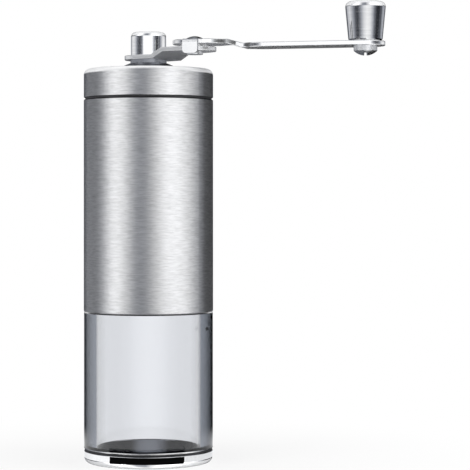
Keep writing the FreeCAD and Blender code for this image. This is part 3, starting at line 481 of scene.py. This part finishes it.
def number(tree, operation, *parts):
    """Result of one step of arithmetic on sockets or constants."""
    made = add_node(tree, "ShaderNodeMath", operation=operation)
    for place, part in enumerate(parts):
        if isinstance(part, float):
            made.inputs[place].default_value = part
        else:
            tree.links.new(part, made.inputs[place])
    return made.outputs["Value"]


def mix_colours(tree, factor, first, second):
    """Blend two colours, sockets or constants, by a factor."""
    mixed = add_node(tree, "ShaderNodeMix", data_type="RGBA")
    tree.links.new(factor, mixed.inputs["Factor"])
    for name, colour in (("A", first), ("B", second)):
        if isinstance(colour, tuple):
            mixed.inputs[name].default_value = colour
        else:
            tree.links.new(colour, mixed.inputs[name])
    return mixed.outputs["Result"]


def object_height(tree):
    """Height of a point on the piece above the table."""
    coords = add_node(tree, "ShaderNodeTexCoord")
    parts = add_node(tree, "ShaderNodeSeparateXYZ")
    tree.links.new(coords.outputs["Object"], parts.inputs["Vector"])
    return parts.outputs["Z"]


def axis_distance(tree):
    """Distance of a point on the piece from the upright axis."""
    coords = add_node(tree, "ShaderNodeTexCoord")
    level = add_node(tree, "ShaderNodeVectorMath", operation="MULTIPLY")
    level.inputs[1].default_value = (1.0, 1.0, 0.0)
    length = add_node(tree, "ShaderNodeVectorMath", operation="LENGTH")
    tree.links.new(coords.outputs["Object"], level.inputs[0])
    tree.links.new(level.outputs["Vector"], length.inputs[0])
    return length.outputs["Value"]


def edge_on(tree, direction=None):
    """One minus the cosine between the line of sight and the surface, or another direction if given."""
    weight = add_node(tree, "ShaderNodeLayerWeight")
    set_inputs(weight, Blend=0.5)
    if direction is not None:
        tree.links.new(direction, weight.inputs["Normal"])
    return weight.outputs["Facing"]


def roughen(tree, shader, factor, strength, depth):
    """Bump the shader's surface by a factor over a depth in metres."""
    bump = add_node(tree, "ShaderNodeBump")
    set_inputs(bump, Strength=strength, Distance=depth)
    tree.links.new(factor, bump.inputs["Height"])
    tree.links.new(bump.outputs["Normal"], shader.inputs["Normal"])


def spread_round_axis(tree, shader, amount):
    """Spread reflections across brush lines that run round the piece's own upright axis."""
    tangent = add_node(tree, "ShaderNodeTangent", direction_type="RADIAL", axis="Z")
    set_inputs(shader, Anisotropic=amount, Anisotropic_Rotation=0.25)
    tree.links.new(tangent.outputs["Tangent"], shader.inputs["Tangent"])


def rim_highlight_share(tree, low, high):
    """Share of painted highlight on a rounded rim between two heights: more where it is seen edge on."""
    height = object_height(tree)
    below = number(tree, "SUBTRACT", 1.0, step_at(tree, height, high, RIM_TOP_BLUR))
    band = number(tree, "MULTIPLY", step_at(tree, height, low, RIM_FOOT_BLUR), below)
    return number(tree, "MULTIPLY", band, step_at(tree, edge_on(tree), RIM_TURN, RIM_TURN_BLUR))


def paint_rim_highlight(tree, shader, share, colour, rim):
    """Paint a highlight: a share of the metal's surface passes into a pale colour that is not metal."""
    tree.links.new(mix_colours(tree, share, colour, opaque(rim)), shader.inputs["Base Color"])
    tree.links.new(number(tree, "SUBTRACT", 1.0, share), shader.inputs["Metallic"])


def brushed_steel(finish, lid_top, painted_seam_shade):
    """Steel brushed round the axis in fine level lines, with a painted highlight on the rim at the lid's top
    and a band of painted shade at the joint under the lid.
    """
    material, tree, shader = new_finish("brushed_steel")
    lines = object_noise(tree, (260.0, 260.0, 1900.0))
    colour = mottled(tree, lines, finish.steel, 0.79, 1.19)
    height = object_height(tree)
    # Painted shade: a dark band of the rubber's colour on the steel either side of the joint under the lid.
    above = number(tree, "GREATER_THAN", height, painted_seam_shade[0])
    below = number(tree, "LESS_THAN", height, painted_seam_shade[1])
    colour = mix_colours(tree, number(tree, "MULTIPLY", above, below), colour, opaque(finish.rubber))
    # Painted highlight on the lid's rounded rim.
    paint_rim_highlight(tree, shader, rim_highlight_share(tree, lid_top - LID_RIM, lid_top - RIM_SKIN), colour, finish.rim)
    gloss = between(tree, lines, finish.steel_gloss - 0.04, finish.steel_gloss + 0.04)
    tree.links.new(gloss, shader.inputs["Roughness"])
    spread_round_axis(tree, shader, 1.0)
    roughen(tree, shader, lines, 0.6, 0.00014)
    return material


def spun_steel(name, finish, top, rim_depth):
    """Polished steel with faint turning lines round the piece's axis and a painted highlight on the rim under
    its top.
    """
    material, tree, shader = new_finish(name)
    lines = object_noise(tree, (120.0, 120.0, 3200.0))
    colour = mottled(tree, lines, finish.polish, 0.9, 1.05)
    # Painted highlight on the rounded rim under the top.
    paint_rim_highlight(tree, shader, rim_highlight_share(tree, top - rim_depth, top - RIM_SKIN), colour, finish.rim)
    gloss = between(tree, lines, finish.polish_gloss - 0.02, finish.polish_gloss + 0.02)
    tree.links.new(gloss, shader.inputs["Roughness"])
    spread_round_axis(tree, shader, 0.5)
    roughen(tree, shader, lines, 0.01, 0.00002)
    return material


def stamped_steel(name, colour, roughness, metallic, sheared=False):
    """Sheet steel smoothed by tumbling: waves in shade and gloss, and shear lines up its rim if asked."""
    material, tree, shader = new_finish(name)
    waves = object_noise(tree, (180.0, 180.0, 180.0), detail=1.0)
    tree.links.new(mottled(tree, waves, colour, 0.93, 1.04), shader.inputs["Base Color"])
    tree.links.new(between(tree, waves, roughness - 0.02, roughness + 0.02), shader.inputs["Roughness"])
    set_inputs(shader, Metallic=metallic)
    if sheared:
        spread_along_rim(tree, shader)
    return material


def spread_along_rim(tree, shader):
    """Spread reflections along a plate's rim, as shear lines up its edge do."""
    facing = add_node(tree, "ShaderNodeNewGeometry")
    along = add_node(tree, "ShaderNodeVectorMath", operation="CROSS_PRODUCT")
    along.inputs[1].default_value = NEARLY_UP
    set_inputs(shader, Anisotropic=1.0)
    tree.links.new(facing.outputs["Normal"], along.inputs[0])
    tree.links.new(along.outputs["Vector"], shader.inputs["Tangent"])


def base_steel(finish, floor_height):
    """Mirror-polished base with a painted highlight on its rounded foot; above a height, its floor in the jar
    is a dark satin.
    """
    material, tree, shader = new_finish("base_steel")
    inside = number(tree, "GREATER_THAN", object_height(tree), floor_height)
    specks = object_noise(tree, (900.0, 900.0, 900.0))
    outer = mottled(tree, specks, finish.polish, 0.97, 1.04)
    floor = mottled(tree, specks, finish.floor_steel, 0.9, 1.1)
    colour = mix_colours(tree, inside, outer, floor)
    # Painted highlight on the rounded foot.
    paint_rim_highlight(tree, shader, rim_highlight_share(tree, *FOOT_RIM), colour, finish.rim)
    gloss = add_node(tree, "ShaderNodeMapRange")
    set_inputs(gloss, To_Min=0.03, To_Max=0.12)
    tree.links.new(inside, gloss.inputs["Value"])
    tree.links.new(gloss.outputs["Result"], shader.inputs["Roughness"])
    return material


def edge_on_share(tree):
    """Share by which a wall round the upright axis is seen edge on, the same from every height.

    One minus the cosine to the wall, which is first divided by the level part of the line of sight.
    """
    upright = add_node(tree, "ShaderNodeCombineXYZ")
    set_inputs(upright, Z=1.0)
    across = number(tree, "SUBTRACT", 1.0, edge_on(tree))
    rise = number(tree, "SUBTRACT", 1.0, edge_on(tree, upright.outputs["Vector"]))
    level = number(tree, "SQRT", number(tree, "SUBTRACT", 1.0, number(tree, "MULTIPLY", rise, rise)))
    return number(tree, "SUBTRACT", 1.0, number(tree, "DIVIDE", across, level))


def clear_acrylic(finish, wall_radius):
    """Clear acrylic whose outer wall, beyond a radius from the axis, is painted a little lighter where it is
    seen face on and darkens with painted shade, down to near black, where it is seen edge on.
    """
    material, tree, shader = new_finish("clear_acrylic")
    # Painted reflection and shade by viewing angle: slightly lighter face on, and edge on the dark room that
    # the wall bends and mirrors.
    painted_light_colour = ramp(
        tree,
        edge_on_share(tree),
        [
            (0.0, shaded(finish.acrylic, 0.9)),
            (0.05, shaded(finish.acrylic, 0.82)),
            (0.24, shaded(finish.acrylic, 0.8)),
            (0.38, shaded(finish.acrylic, 0.5)),
            (0.42, shaded(finish.acrylic_edge_shade, 1.5)),
            (0.62, shaded(finish.acrylic_edge_shade, 0.35)),
            (0.76, shaded(finish.acrylic_edge_shade, 0.02)),
        ],
    )
    outer = number(tree, "GREATER_THAN", axis_distance(tree), wall_radius)
    colour = mix_colours(tree, outer, opaque(finish.acrylic), painted_light_colour)
    tree.links.new(colour, shader.inputs["Base Color"])
    haze = object_noise(tree, (60.0, 60.0, 60.0))
    tree.links.new(between(tree, haze, 0.0, 0.03), shader.inputs["Roughness"])
    set_inputs(shader, Transmission_Weight=1.0, IOR=1.49)
    return material


def plain_finish(name, colour, roughness, grain, metallic=0.0):
    """Moulded, cast or turned finish with fine grain in its shade and gloss."""
    material, tree, shader = new_finish(name)
    specks = object_noise(tree, (grain, grain, grain))
    tree.links.new(mottled(tree, specks, colour, 0.88, 1.1), shader.inputs["Base Color"])
    tree.links.new(between(tree, specks, roughness - 0.06, roughness + 0.06), shader.inputs["Roughness"])
    set_inputs(shader, Metallic=metallic)
    roughen(tree, shader, specks, 0.1, 0.00004)
    return material


def sheen_painted_rubber(colour, sheen):
    """Dark rubber with a painted sheen: its colour turns light where it is seen edge on."""
    material, tree, shader = new_finish("sheen_painted_rubber")
    # Painted sheen: from the rubber's dark colour to the light sheen colour where the ring is seen edge on.
    painted_light_colour = ramp(tree, edge_on(tree), [(0.58, opaque(colour)), (0.7, opaque(sheen))])
    tree.links.new(painted_light_colour, shader.inputs["Base Color"])
    specks = object_noise(tree, (2500.0, 2500.0, 2500.0))
    tree.links.new(between(tree, specks, 0.35, 0.45), shader.inputs["Roughness"])
    return material


def dress(material, nodes):
    """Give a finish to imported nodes."""
    for name in nodes:
        slots = frame["nodes"][name].material_slots
        if not slots:
            raise RuntimeError(f"{name} has no place for a finish")
        for slot in slots:
            slot.material = material


def grid_mesh(name, points, closed_columns=False, closed_rows=False):
    """Mesh from a grid of points, rows by columns, joined round its columns or its rows if asked."""
    rows, columns = points.shape[:2]
    numbers = np.arange(rows * columns).reshape(rows, columns)
    if closed_columns:
        numbers = np.concatenate([numbers, numbers[:, :1]], axis=1)
    if closed_rows:
        numbers = np.concatenate([numbers, numbers[:1]], axis=0)
    quads = np.stack([numbers[:-1, :-1], numbers[:-1, 1:], numbers[1:, 1:], numbers[1:, :-1]], axis=-1)
    mesh = bpy.data.meshes.new(name)
    mesh.from_pydata(points.reshape(-1, 3).tolist(), [], quads.reshape(-1, 4).tolist())
    mesh.validate()
    mesh.polygons.foreach_set("use_smooth", np.ones(len(mesh.polygons), dtype=bool))
    made = bpy.data.objects.new(name, mesh)
    bpy.context.scene.collection.objects.link(made)
    return made


def stud_points(trim, jar_radius):
    """Low oval stud bent round the jar.

    Rings at a share r of the stud's size stand on the wall at arc length a r cos t and height b r sin t,
    where a and b are half its length and half its rise. From a foot sunk a little into the wall, the stud
    stands proud by its full depth times the square root of 1 - r to the fourth.
    """
    share = np.linspace(1.0, 0.0, 9)[:, None]
    turn = np.linspace(0.0, 2 * np.pi, 40, endpoint=False)[None, :]
    along = trim.stud_length * share * np.cos(turn) / jar_radius
    rise = STUD_PROUD * np.sqrt(np.clip(1.0 - share**4, 0.0, 1.0)) * np.ones_like(turn)
    radius = jar_radius - STUD_SUNK + rise
    angle = trim.stud_angle + along
    height = trim.stud_height + trim.stud_rise * share * np.sin(turn)
    return np.stack([radius * np.cos(angle), radius * np.sin(angle), height], axis=-1)


def ring_points(middle_radius, middle_height, half_depth, half_height):
    """Ring with an oval section round the grinder's axis.

    A point at turn t round the axis and turn s round the section lies at radius R + a cos s and height
    Z + b sin s, where R and Z are the section's middle and a and b are half its depth and half its height.
    """
    turn = np.linspace(0.0, 2 * np.pi, 180, endpoint=False)[None, :]
    section = np.linspace(0.0, 2 * np.pi, 16, endpoint=False)[:, None]
    radius = middle_radius + half_depth * np.cos(section)
    height = middle_height + half_height * np.sin(section) * np.ones_like(turn)
    return np.stack([radius * np.cos(turn), radius * np.sin(turn), height], axis=-1)


class GRINDER_OT_steel(bpy.types.Operator):
    """Brushed steel for the body and the lid"""

    bl_idname = "grinder.steel"
    bl_label = "Body and lid"

    def execute(self, context):
        lid_low, lid_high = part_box("lid_shell")
        # Band of painted shade at the joint under the lid, from just under the tube's top to just over the
        # lid's foot.
        painted_seam_shade = (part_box("body_tube")[1].z - SEAM_BELOW, lid_low.z + SEAM_ABOVE)
        dress(brushed_steel(context.scene.grinder_finish, lid_high.z, painted_seam_shade), BODY_NODES)
        return {"FINISHED"}


class GRINDER_OT_crank(bpy.types.Operator):
    """Polished steel for the hub, plates, rivet, screw and knob of the crank"""

    bl_idname = "grinder.crank"
    bl_label = "Crank"

    def execute(self, context):
        finish = context.scene.grinder_finish
        hub_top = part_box("hub_cap")[1].z
        knob_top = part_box("knob_body")[1].z
        arm_finish = stamped_steel("polished_arm", finish.polish, finish.arm_gloss, ARM_METAL, sheared=True)
        bracket_finish = stamped_steel("tumbled_steel", finish.satin, finish.bracket_gloss, BRACKET_METAL)
        dress(spun_steel("spun_hub", finish, hub_top, HUB_RIM), ("hub_cap",))
        dress(spun_steel("spun_knob", finish, knob_top, KNOB_RIM), ("knob_body", "knob_cap"))
        dress(arm_finish, ("crank_arm",))
        dress(bracket_finish, ("crank_bracket",))
        dress(stamped_steel("satin_steel", finish.satin, finish.satin_gloss, RIVET_METAL), SATIN_NODES)
        dress(stamped_steel("satin_collar", finish.collar, finish.satin_gloss, COLLAR_METAL), COLLAR_NODES)
        return {"FINISHED"}


class GRINDER_OT_jar(bpy.types.Operator):
    """Clear acrylic jar on its mirror-polished base"""

    bl_idname = "grinder.jar"
    bl_label = "Jar and base"

    def execute(self, context):
        finish = context.scene.grinder_finish
        gasket_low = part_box("base_gasket")[0].z
        dress(clear_acrylic(finish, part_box("jar_tube")[1].x - WALL_SKIN), ("jar_tube",))
        dress(base_steel(finish, gasket_low - FLOOR_STEP), ("jar_base",))
        return {"FINISHED"}


class GRINDER_OT_inner(bpy.types.Operator):
    """Seals, mouldings, bushes, burrs and shaft inside the grinder"""

    bl_idname = "grinder.inner"
    bl_label = "Inner works"

    def execute(self, context):
        finish = context.scene.grinder_finish
        dress(plain_finish("seal_rubber", finish.rubber, 0.55, 2500.0), SEAL_NODES)
        dress(plain_finish("moulded_plastic", finish.plastic, 0.45, 1800.0), DARK_NODES)
        dress(plain_finish("turned_steel", finish.steel, 0.3, 1200.0, metallic=1.0), INNER_STEEL_NODES)
        dress(plain_finish("turned_brass", finish.brass, 0.28, 1200.0, metallic=1.0), BRASS_NODES)
        dress(plain_finish("burr_ceramic", finish.ceramic, 0.5, 3000.0), BURR_NODES)
        return {"FINISHED"}


class GRINDER_OT_trim(bpy.types.Operator):
    """Dark stud on the jar's wall, polished bead at its foot, and a dark ring of painted shade with a painted
    sheen at its shoulder
    """

    bl_idname = "grinder.trim"
    bl_label = "Jar trim"

    def execute(self, context):
        finish = context.scene.grinder_finish
        trim = context.scene.grinder_trim
        jar_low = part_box("jar_tube")[0].z
        jar_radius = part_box("jar_tube")[1].x
        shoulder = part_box("body_tube")[0].z
        stud = grid_mesh("jar_stud", stud_points(trim, jar_radius), closed_columns=True)
        stud.data.materials.append(plain_finish("stud_rubber", finish.rubber, 0.5, 4000.0))
        bead_radius = jar_radius - trim.bead_depth
        bead = ring_points(bead_radius, jar_low + trim.bead_height, trim.bead_depth, trim.bead_height)
        foot = grid_mesh("jar_bead", bead, closed_columns=True, closed_rows=True)
        foot.data.materials.append(plain_finish("bead_steel", finish.polish, 0.2, 1200.0, metallic=1.0))
        # Painted shade: a dark ring in the gap under the tube, with a painted sheen where it is seen edge on.
        line_middle = shoulder - trim.line_height - LINE_GAP
        line = ring_points(jar_radius - LINE_SUNK, line_middle, trim.line_depth, trim.line_height)
        shading = grid_mesh("shoulder_shade_line", line, closed_columns=True, closed_rows=True)
        shading.data.materials.append(sheen_painted_rubber(finish.rubber, finish.satin))
        for made, slot in ((stud, "seals"), (foot, "polished"), (shading, "seals")):
            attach(made, "jar")
        return {"FINISHED"}


# Light round the grinder as its metal mirrors it: degrees right of the camera, and level.
SOFTBOX_RING = (
    (-180.0, 0.12),
    (-150.0, 0.1),
    (-108.0, 0.14),
    (-90.0, 0.82),
    (-70.0, 2.2),
    (-58.0, 2.2),
    (-40.0, 1.35),
    (-22.0, 0.46),
    (-4.0, 0.38),
    (16.0, 1.15),
    (36.0, 2.1),
    (58.0, 2.25),
    (80.0, 1.85),
    (98.0, 1.05),
    (108.0, 0.68),
    (116.0, 0.42),
    (124.0, 0.0),
    (180.0, 0.0),
)
CRANK_RING = (
    (-180.0, 0.2),
    (-152.0, 0.25),
    (-136.0, 0.8),
    (-112.0, 0.98),
    (-98.0, 0.84),
    (-88.0, 0.58),
    (-79.0, 0.3),
    (-71.0, 0.16),
    (-63.0, 0.09),
    (-55.0, 0.09),
    (-48.0, 0.15),
    (-41.0, 0.34),
    (-34.0, 0.74),
    (-29.0, 1.5),
    (25.0, 1.5),
    (33.0, 0.72),
    (40.0, 0.42),
    (47.0, 0.2),
    (54.0, 0.1),
    (62.0, 0.06),
    (70.0, 0.09),
    (78.0, 0.15),
    (86.0, 0.34),
    (96.0, 0.66),
    (106.0, 1.05),
    (118.0, 1.25),
    (136.0, 0.9),
    (152.0, 0.25),
    (180.0, 0.2),
)
KNOB_RING = (
    (-180.0, 0.06),
    (-148.0, 0.08),
    (-134.0, 0.6),
    (-108.0, 0.85),
    (-81.0, 0.38),
    (-65.0, 0.1),
    (-51.0, 0.06),
    (-38.0, 0.2),
    (-25.0, 0.5),
    (-12.0, 0.85),
    (6.0, 1.08),
    (25.0, 0.95),
    (38.0, 0.6),
    (51.0, 0.22),
    (65.0, 0.05),
    (81.0, 0.03),
    (98.0, 0.14),
    (120.0, 0.45),
    (134.0, 0.55),
    (148.0, 0.08),
    (180.0, 0.06),
)
# Rings of the knob and the crank again with a dark right side, for the right edge of the body.
DARK_SIDE = ((112.0, 0.03), (118.0, 0.0), (180.0, 0.0))
LOW_RING = (*(stop for stop in KNOB_RING if stop[0] < 100.0), *DARK_SIDE)
HIGH_RING = (*(stop for stop in CRANK_RING if stop[0] < 100.0), *DARK_SIDE)
BASE_RING = (
    (-180.0, 0.9),
    (-150.0, 0.95),
    (-110.0, 1.2),
    (0.0, 1.2),
    (70.0, 1.0),
    (150.0, 0.9),
    (180.0, 0.9),
)
# Light behind the jar above eye level, which its floor mirrors.
STRIP_RING = (
    (-180.0, 0.2),
    (-179.7, 0.36),
    (-176.0, 0.36),
    (-175.0, 0.02),
    (179.7, 0.02),
    (180.0, 0.2),
)
# The room from below upwards: the rise of each ring's lower edge, the ring, and the share of its levels.
ROOM_RINGS = (
    (-0.15, BASE_RING, 1.0),
    (-0.118, LOW_RING, 1.0),
    (-0.02, KNOB_RING, 1.0),
    (0.035, SOFTBOX_RING, 1.0),
    (0.047, CRANK_RING, 1.0),
    (0.085, HIGH_RING, 1.0),
    (0.118, SOFTBOX_RING, 0.85),
)
LOWEST_SHARE = 1.15
RING_BLUR = 0.005
CEILING_RISE = 0.86
CEILING_BLUR = 0.06
CEILING_LEVEL = 0.6
# Places of the lamps from the grinder's middle: right, up and towards the camera.
KEY_PLACE = (-0.6, 0.7, 0.6)
FILL_PLACE = (0.7, 0.5, 0.4)
LAMP_SIDE = 0.6
# Card on the floor that the base mirrors: half its fan in degrees, its reach from the rim, and its lift.
CARD_FAN = 70.0
CARD_REACH = (0.0035, 0.06)
CARD_LIFT = 0.0001
# Strip that the neck of the crank's arm mirrors: degrees right of the camera, and level.
NECK_STRIP = ((-22.0, 1.2), (-10.0, 0.85), (4.0, 0.42), (18.0, 0.19), (40.0, 0.1), (75.0, 0.06))
STRIP_DISTANCE = 0.006
STRIP_HEIGHTS = (-0.004, 0.0055)
NECK_ALONG = 0.011
NECK_ASIDE = 0.0055
BASE_CARD_LEVEL = 0.004
WHITE = (1.0, 1.0, 1.0, 1.0)


def cool(level):
    """Colour of a level of light: neutral where it is white, bluish where it is dark."""
    dark = max(0.0, 1.0 - level)
    return (level * (0.985 - 0.14 * dark), level * (0.992 - 0.08 * dark), level * (1.0 + 0.08 * dark), 1.0)


def ring_light(tree, angle, ring, share=1.0):
    """Light of a ring at an angle in degrees, with its levels scaled by a share."""
    along = add_node(tree, "ShaderNodeMapRange")
    set_inputs(along, From_Min=-180.0, From_Max=180.0)
    tree.links.new(angle, along.inputs["Value"])
    stops = [((place + 180.0) / 360.0, cool(level * share)) for place, level in ring]
    return ramp(tree, along.outputs["Result"], stops)


def camera_bearing(tree, azimuth):
    """Degrees right of the camera, and rise, of the direction that a ray leaves in."""
    coords = add_node(tree, "ShaderNodeTexCoord")
    turned = add_node(tree, "ShaderNodeVectorRotate", rotation_type="Z_AXIS")
    set_inputs(turned, Angle=-azimuth)
    parts = add_node(tree, "ShaderNodeSeparateXYZ")
    tree.links.new(coords.outputs["Generated"], turned.inputs["Vector"])
    tree.links.new(turned.outputs["Vector"], parts.inputs["Vector"])
    nearer = number(tree, "MULTIPLY", parts.outputs["Y"], -1.0)
    angle = number(tree, "ARCTAN2", parts.outputs["X"], nearer)
    return number(tree, "DEGREES", angle), parts.outputs["Z"]


def studio_world(studio):
    """White room: metal mirrors rings of light under a pale ceiling, glass shows white below eye level."""
    world = bpy.data.worlds.new("studio")
    bpy.context.scene.world = world
    world.use_nodes = True
    tree = world.node_tree
    bearing, rise = camera_bearing(tree, studio.azimuth)
    mirrored = ring_light(tree, bearing, SOFTBOX_RING, LOWEST_SHARE)
    for edge, ring, share in ROOM_RINGS:
        above = ring_light(tree, bearing, ring, share)
        mirrored = mix_colours(tree, step_at(tree, rise, edge, RING_BLUR), mirrored, above)
    overhead = step_at(tree, rise, CEILING_RISE, CEILING_BLUR)
    mirrored = mix_colours(tree, overhead, mirrored, cool(CEILING_LEVEL))
    through = mix_colours(tree, step_at(tree, rise, 0.0, 0.01), WHITE, ring_light(tree, bearing, STRIP_RING))
    path = add_node(tree, "ShaderNodeLightPath")
    even = (studio.daylight, studio.daylight, studio.daylight, 1.0)
    lit = mix_colours(tree, path.outputs["Is Glossy Ray"], even, mirrored)
    lit = mix_colours(tree, path.outputs["Is Transmission Ray"], lit, through)
    seen = mix_colours(tree, path.outputs["Is Camera Ray"], lit, WHITE)
    tree.links.new(seen, tree.nodes["Background"].inputs["Color"])


def studio_floor():
    """Wide pale floor: white to the camera but for the grinder's soft shadow close by."""
    side = 4.0
    corners = np.array([[[-side, -side, 0.0], [side, -side, 0.0]], [[-side, side, 0.0], [side, side, 0.0]]])
    floor = grid_mesh("floor", corners)
    material, tree, shader = new_finish("pale_floor")
    set_inputs(shader, Base_Color=(0.9, 0.9, 0.9, 1.0), Roughness=0.9, Specular_IOR_Level=0.0)
    glow = add_node(tree, "ShaderNodeEmission")
    set_inputs(glow, Color=WHITE, Strength=1.0)
    away = add_node(tree, "ShaderNodeMapRange", interpolation_type="SMOOTHSTEP")
    set_inputs(away, From_Min=0.02, From_Max=0.16, To_Min=0.78, To_Max=1.0)
    tree.links.new(axis_distance(tree), away.inputs["Value"])
    path = add_node(tree, "ShaderNodeLightPath")
    share = number(tree, "MULTIPLY", path.outputs["Is Camera Ray"], away.outputs["Result"])
    blend = add_node(tree, "ShaderNodeMixShader")
    tree.links.new(share, blend.inputs["Fac"])
    tree.links.new(shader.outputs["BSDF"], blend.inputs[1])
    tree.links.new(glow.outputs["Emission"], blend.inputs[2])
    tree.links.new(blend.outputs["Shader"], tree.nodes["Material Output"].inputs["Surface"])
    floor.data.materials.append(material)
    floor.visible_glossy = False
    floor.visible_transmission = False
    floor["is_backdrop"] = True


def camera_axes(azimuth):
    """Level directions to the camera's right and towards the camera."""
    right = np.array([math.cos(azimuth), math.sin(azimuth), 0.0])
    toward = np.array([math.sin(azimuth), -math.cos(azimuth), 0.0])
    return right, toward


def card_points(azimuth, base_radius):
    """Fan-shaped card on the floor in front of the base.

    A ray of the fan at angle a from the camera's bearing starts from the base's rim at half that angle and
    runs outwards over the card's reach, so it lies under what the rim's upright wall mirrors there.
    """
    fan = np.radians(np.linspace(-CARD_FAN, CARD_FAN, 41))[:, None]
    reach = np.linspace(*CARD_REACH, 7)[None, :]
    right, toward = camera_axes(azimuth)
    across = base_radius * np.sin(fan / 2) + reach * np.sin(fan)
    nearer = base_radius * np.cos(fan / 2) + reach * np.cos(fan)
    return across[..., None] * right + nearer[..., None] * toward + np.array([0.0, 0.0, CARD_LIFT])


def strip_points(azimuth, angles):
    """Upright strip in the air round the neck of the crank's arm.

    A point at angle a right of the camera's bearing stands a set distance from a point on the neck's near
    side, which lies a length from the rivet towards the knob and a width to the near side; the strip's
    heights are taken from the rivet's middle.
    """
    rivet = sum(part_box("fold_rivet"), Vector()) / 2
    along = sum(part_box("knob_screw"), Vector()) / 2 - rivet
    along = Vector((along.x, along.y, 0.0)).normalized()
    neck = np.array(rivet + along * NECK_ALONG + Vector((along.y, -along.x, 0.0)) * NECK_ASIDE)
    turn = np.radians(angles)[:, None, None]
    height = np.linspace(*STRIP_HEIGHTS, 4)[None, :, None] * np.array([0.0, 0.0, 1.0])
    right, toward = camera_axes(azimuth)
    return neck + STRIP_DISTANCE * (np.sin(turn) * right + np.cos(turn) * toward) + height


def studio_card(name, points, levels):
    """Card of the studio, which only mirrors see; its points shine at their own levels."""
    card = grid_mesh(name, points)
    spread = np.broadcast_to(levels, points.shape[:2]).astype(np.float32).ravel()
    card.data.attributes.new("level", "FLOAT", "POINT").data.foreach_set("value", spread)
    material, tree, _ = new_finish(name)
    level = add_node(tree, "ShaderNodeAttribute", attribute_name="level")
    glow = add_node(tree, "ShaderNodeEmission")
    set_inputs(glow, Color=(0.95, 0.98, 1.0, 1.0))
    tree.links.new(level.outputs["Fac"], glow.inputs["Strength"])
    tree.links.new(glow.outputs["Emission"], tree.nodes["Material Output"].inputs["Surface"])
    card.data.materials.append(material)
    card.visible_camera = False
    card.visible_diffuse = False
    card.visible_transmission = False
    card.visible_shadow = False
    card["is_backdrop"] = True


def softbox(name, power, place, aim):
    """Square lamp at a place, aimed at a point, that lights without showing in mirrors."""
    lamp = bpy.data.lights.new(name, "AREA")
    lamp.energy = power
    lamp.size = LAMP_SIDE
    made = bpy.data.objects.new(name, lamp)
    made.location = place
    made.rotation_euler = (aim - made.location).to_track_quat("-Z", "Y").to_euler()
    made.visible_glossy = False
    bpy.context.scene.collection.objects.link(made)


def studio_camera(studio):
    """Level camera at the studio's azimuth; the shift sets the row of the horizon."""
    lens = bpy.data.cameras.new("camera")
    lens.sensor_width = SENSOR_WIDTH
    lens.lens = SENSOR_WIDTH * studio.focal_pixels / IMAGE_SIDE
    lens.shift_y = (studio.horizon_row - IMAGE_SIDE / 2) / IMAGE_SIDE
    lens.clip_start = 0.01
    lens.clip_end = 50.0
    made = bpy.data.objects.new("camera", lens)
    sine, cosine = math.sin(studio.azimuth), math.cos(studio.azimuth)
    made.location = (
        sine * studio.distance + cosine * studio.side,
        -cosine * studio.distance + sine * studio.side,
        studio.height,
    )
    made.rotation_euler = (math.pi / 2, 0.0, studio.azimuth)
    bpy.context.scene.collection.objects.link(made)
    bpy.context.scene.camera = made
    return made


class GRINDER_OT_stage(bpy.types.Operator):
    """Pale floor, white room, two softboxes, two cards that only mirrors see, and the camera"""

    bl_idname = "grinder.stage"
    bl_label = "Studio"

    def execute(self, context):
        studio = context.scene.grinder_studio
        camera = studio_camera(studio)
        for name in UNMIRRORED_NODES:
            frame["nodes"][name].visible_glossy = False
        turn = camera.rotation_euler.to_matrix()
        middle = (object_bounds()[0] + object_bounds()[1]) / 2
        softbox("key", studio.key_power, middle + turn @ Vector(KEY_PLACE), middle)
        softbox("fill", studio.fill_power, middle + turn @ Vector(FILL_PLACE), middle)
        studio_world(studio)
        studio_floor()
        studio_card("dark_card", card_points(studio.azimuth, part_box("jar_base")[1].x), BASE_CARD_LEVEL)
        places, levels = np.array(NECK_STRIP).T
        angles = np.linspace(places[0], places[-1], 40)
        shades = np.interp(angles, places, levels)[:, None]
        studio_card("neck_strip", strip_points(studio.azimuth, angles), shades)
        context.scene.view_settings.view_transform = "Standard"
        return {"FINISHED"}


class GRINDER_PT_panel(bpy.types.Panel):
    """Buttons and settings of the grinder's looks"""

    bl_idname = "GRINDER_PT_panel"
    bl_label = "Hand grinder"
    bl_space_type = "VIEW_3D"
    bl_region_type = "UI"
    bl_category = "Grinder"

    def draw(self, context):
        for operator in OPERATORS:
            self.layout.operator(operator.bl_idname)
        for group in (context.scene.grinder_finish, context.scene.grinder_trim, context.scene.grinder_studio):
            for name in group.__annotations__:
                self.layout.prop(group, name)


OPERATORS = (
    GRINDER_OT_steel,
    GRINDER_OT_crank,
    GRINDER_OT_jar,
    GRINDER_OT_inner,
    GRINDER_OT_trim,
    GRINDER_OT_stage,
)
CLASSES = (GrinderFinish, GrinderTrim, GrinderStudio, *OPERATORS, GRINDER_PT_panel)


def register():
    """Register the classes and hang their settings on the scene."""
    for cls in CLASSES:
        bpy.utils.register_class(cls)
    bpy.types.Scene.grinder_finish = PointerProperty(type=GrinderFinish)
    bpy.types.Scene.grinder_trim = PointerProperty(type=GrinderTrim)
    bpy.types.Scene.grinder_studio = PointerProperty(type=GrinderStudio)


def unregister():
    """Take the settings off the scene and unregister the classes."""
    del bpy.types.Scene.grinder_studio
    del bpy.types.Scene.grinder_trim
    del bpy.types.Scene.grinder_finish
    for cls in reversed(CLASSES):
        bpy.utils.unregister_class(cls)


def main():
    """Dress the grinder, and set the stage."""
    register()
    bpy.ops.grinder.steel()
    bpy.ops.grinder.crank()
    bpy.ops.grinder.jar()
    bpy.ops.grinder.inner()
    bpy.ops.grinder.trim()
    bpy.ops.grinder.stage()


if __name__ == "__main__":
    main()
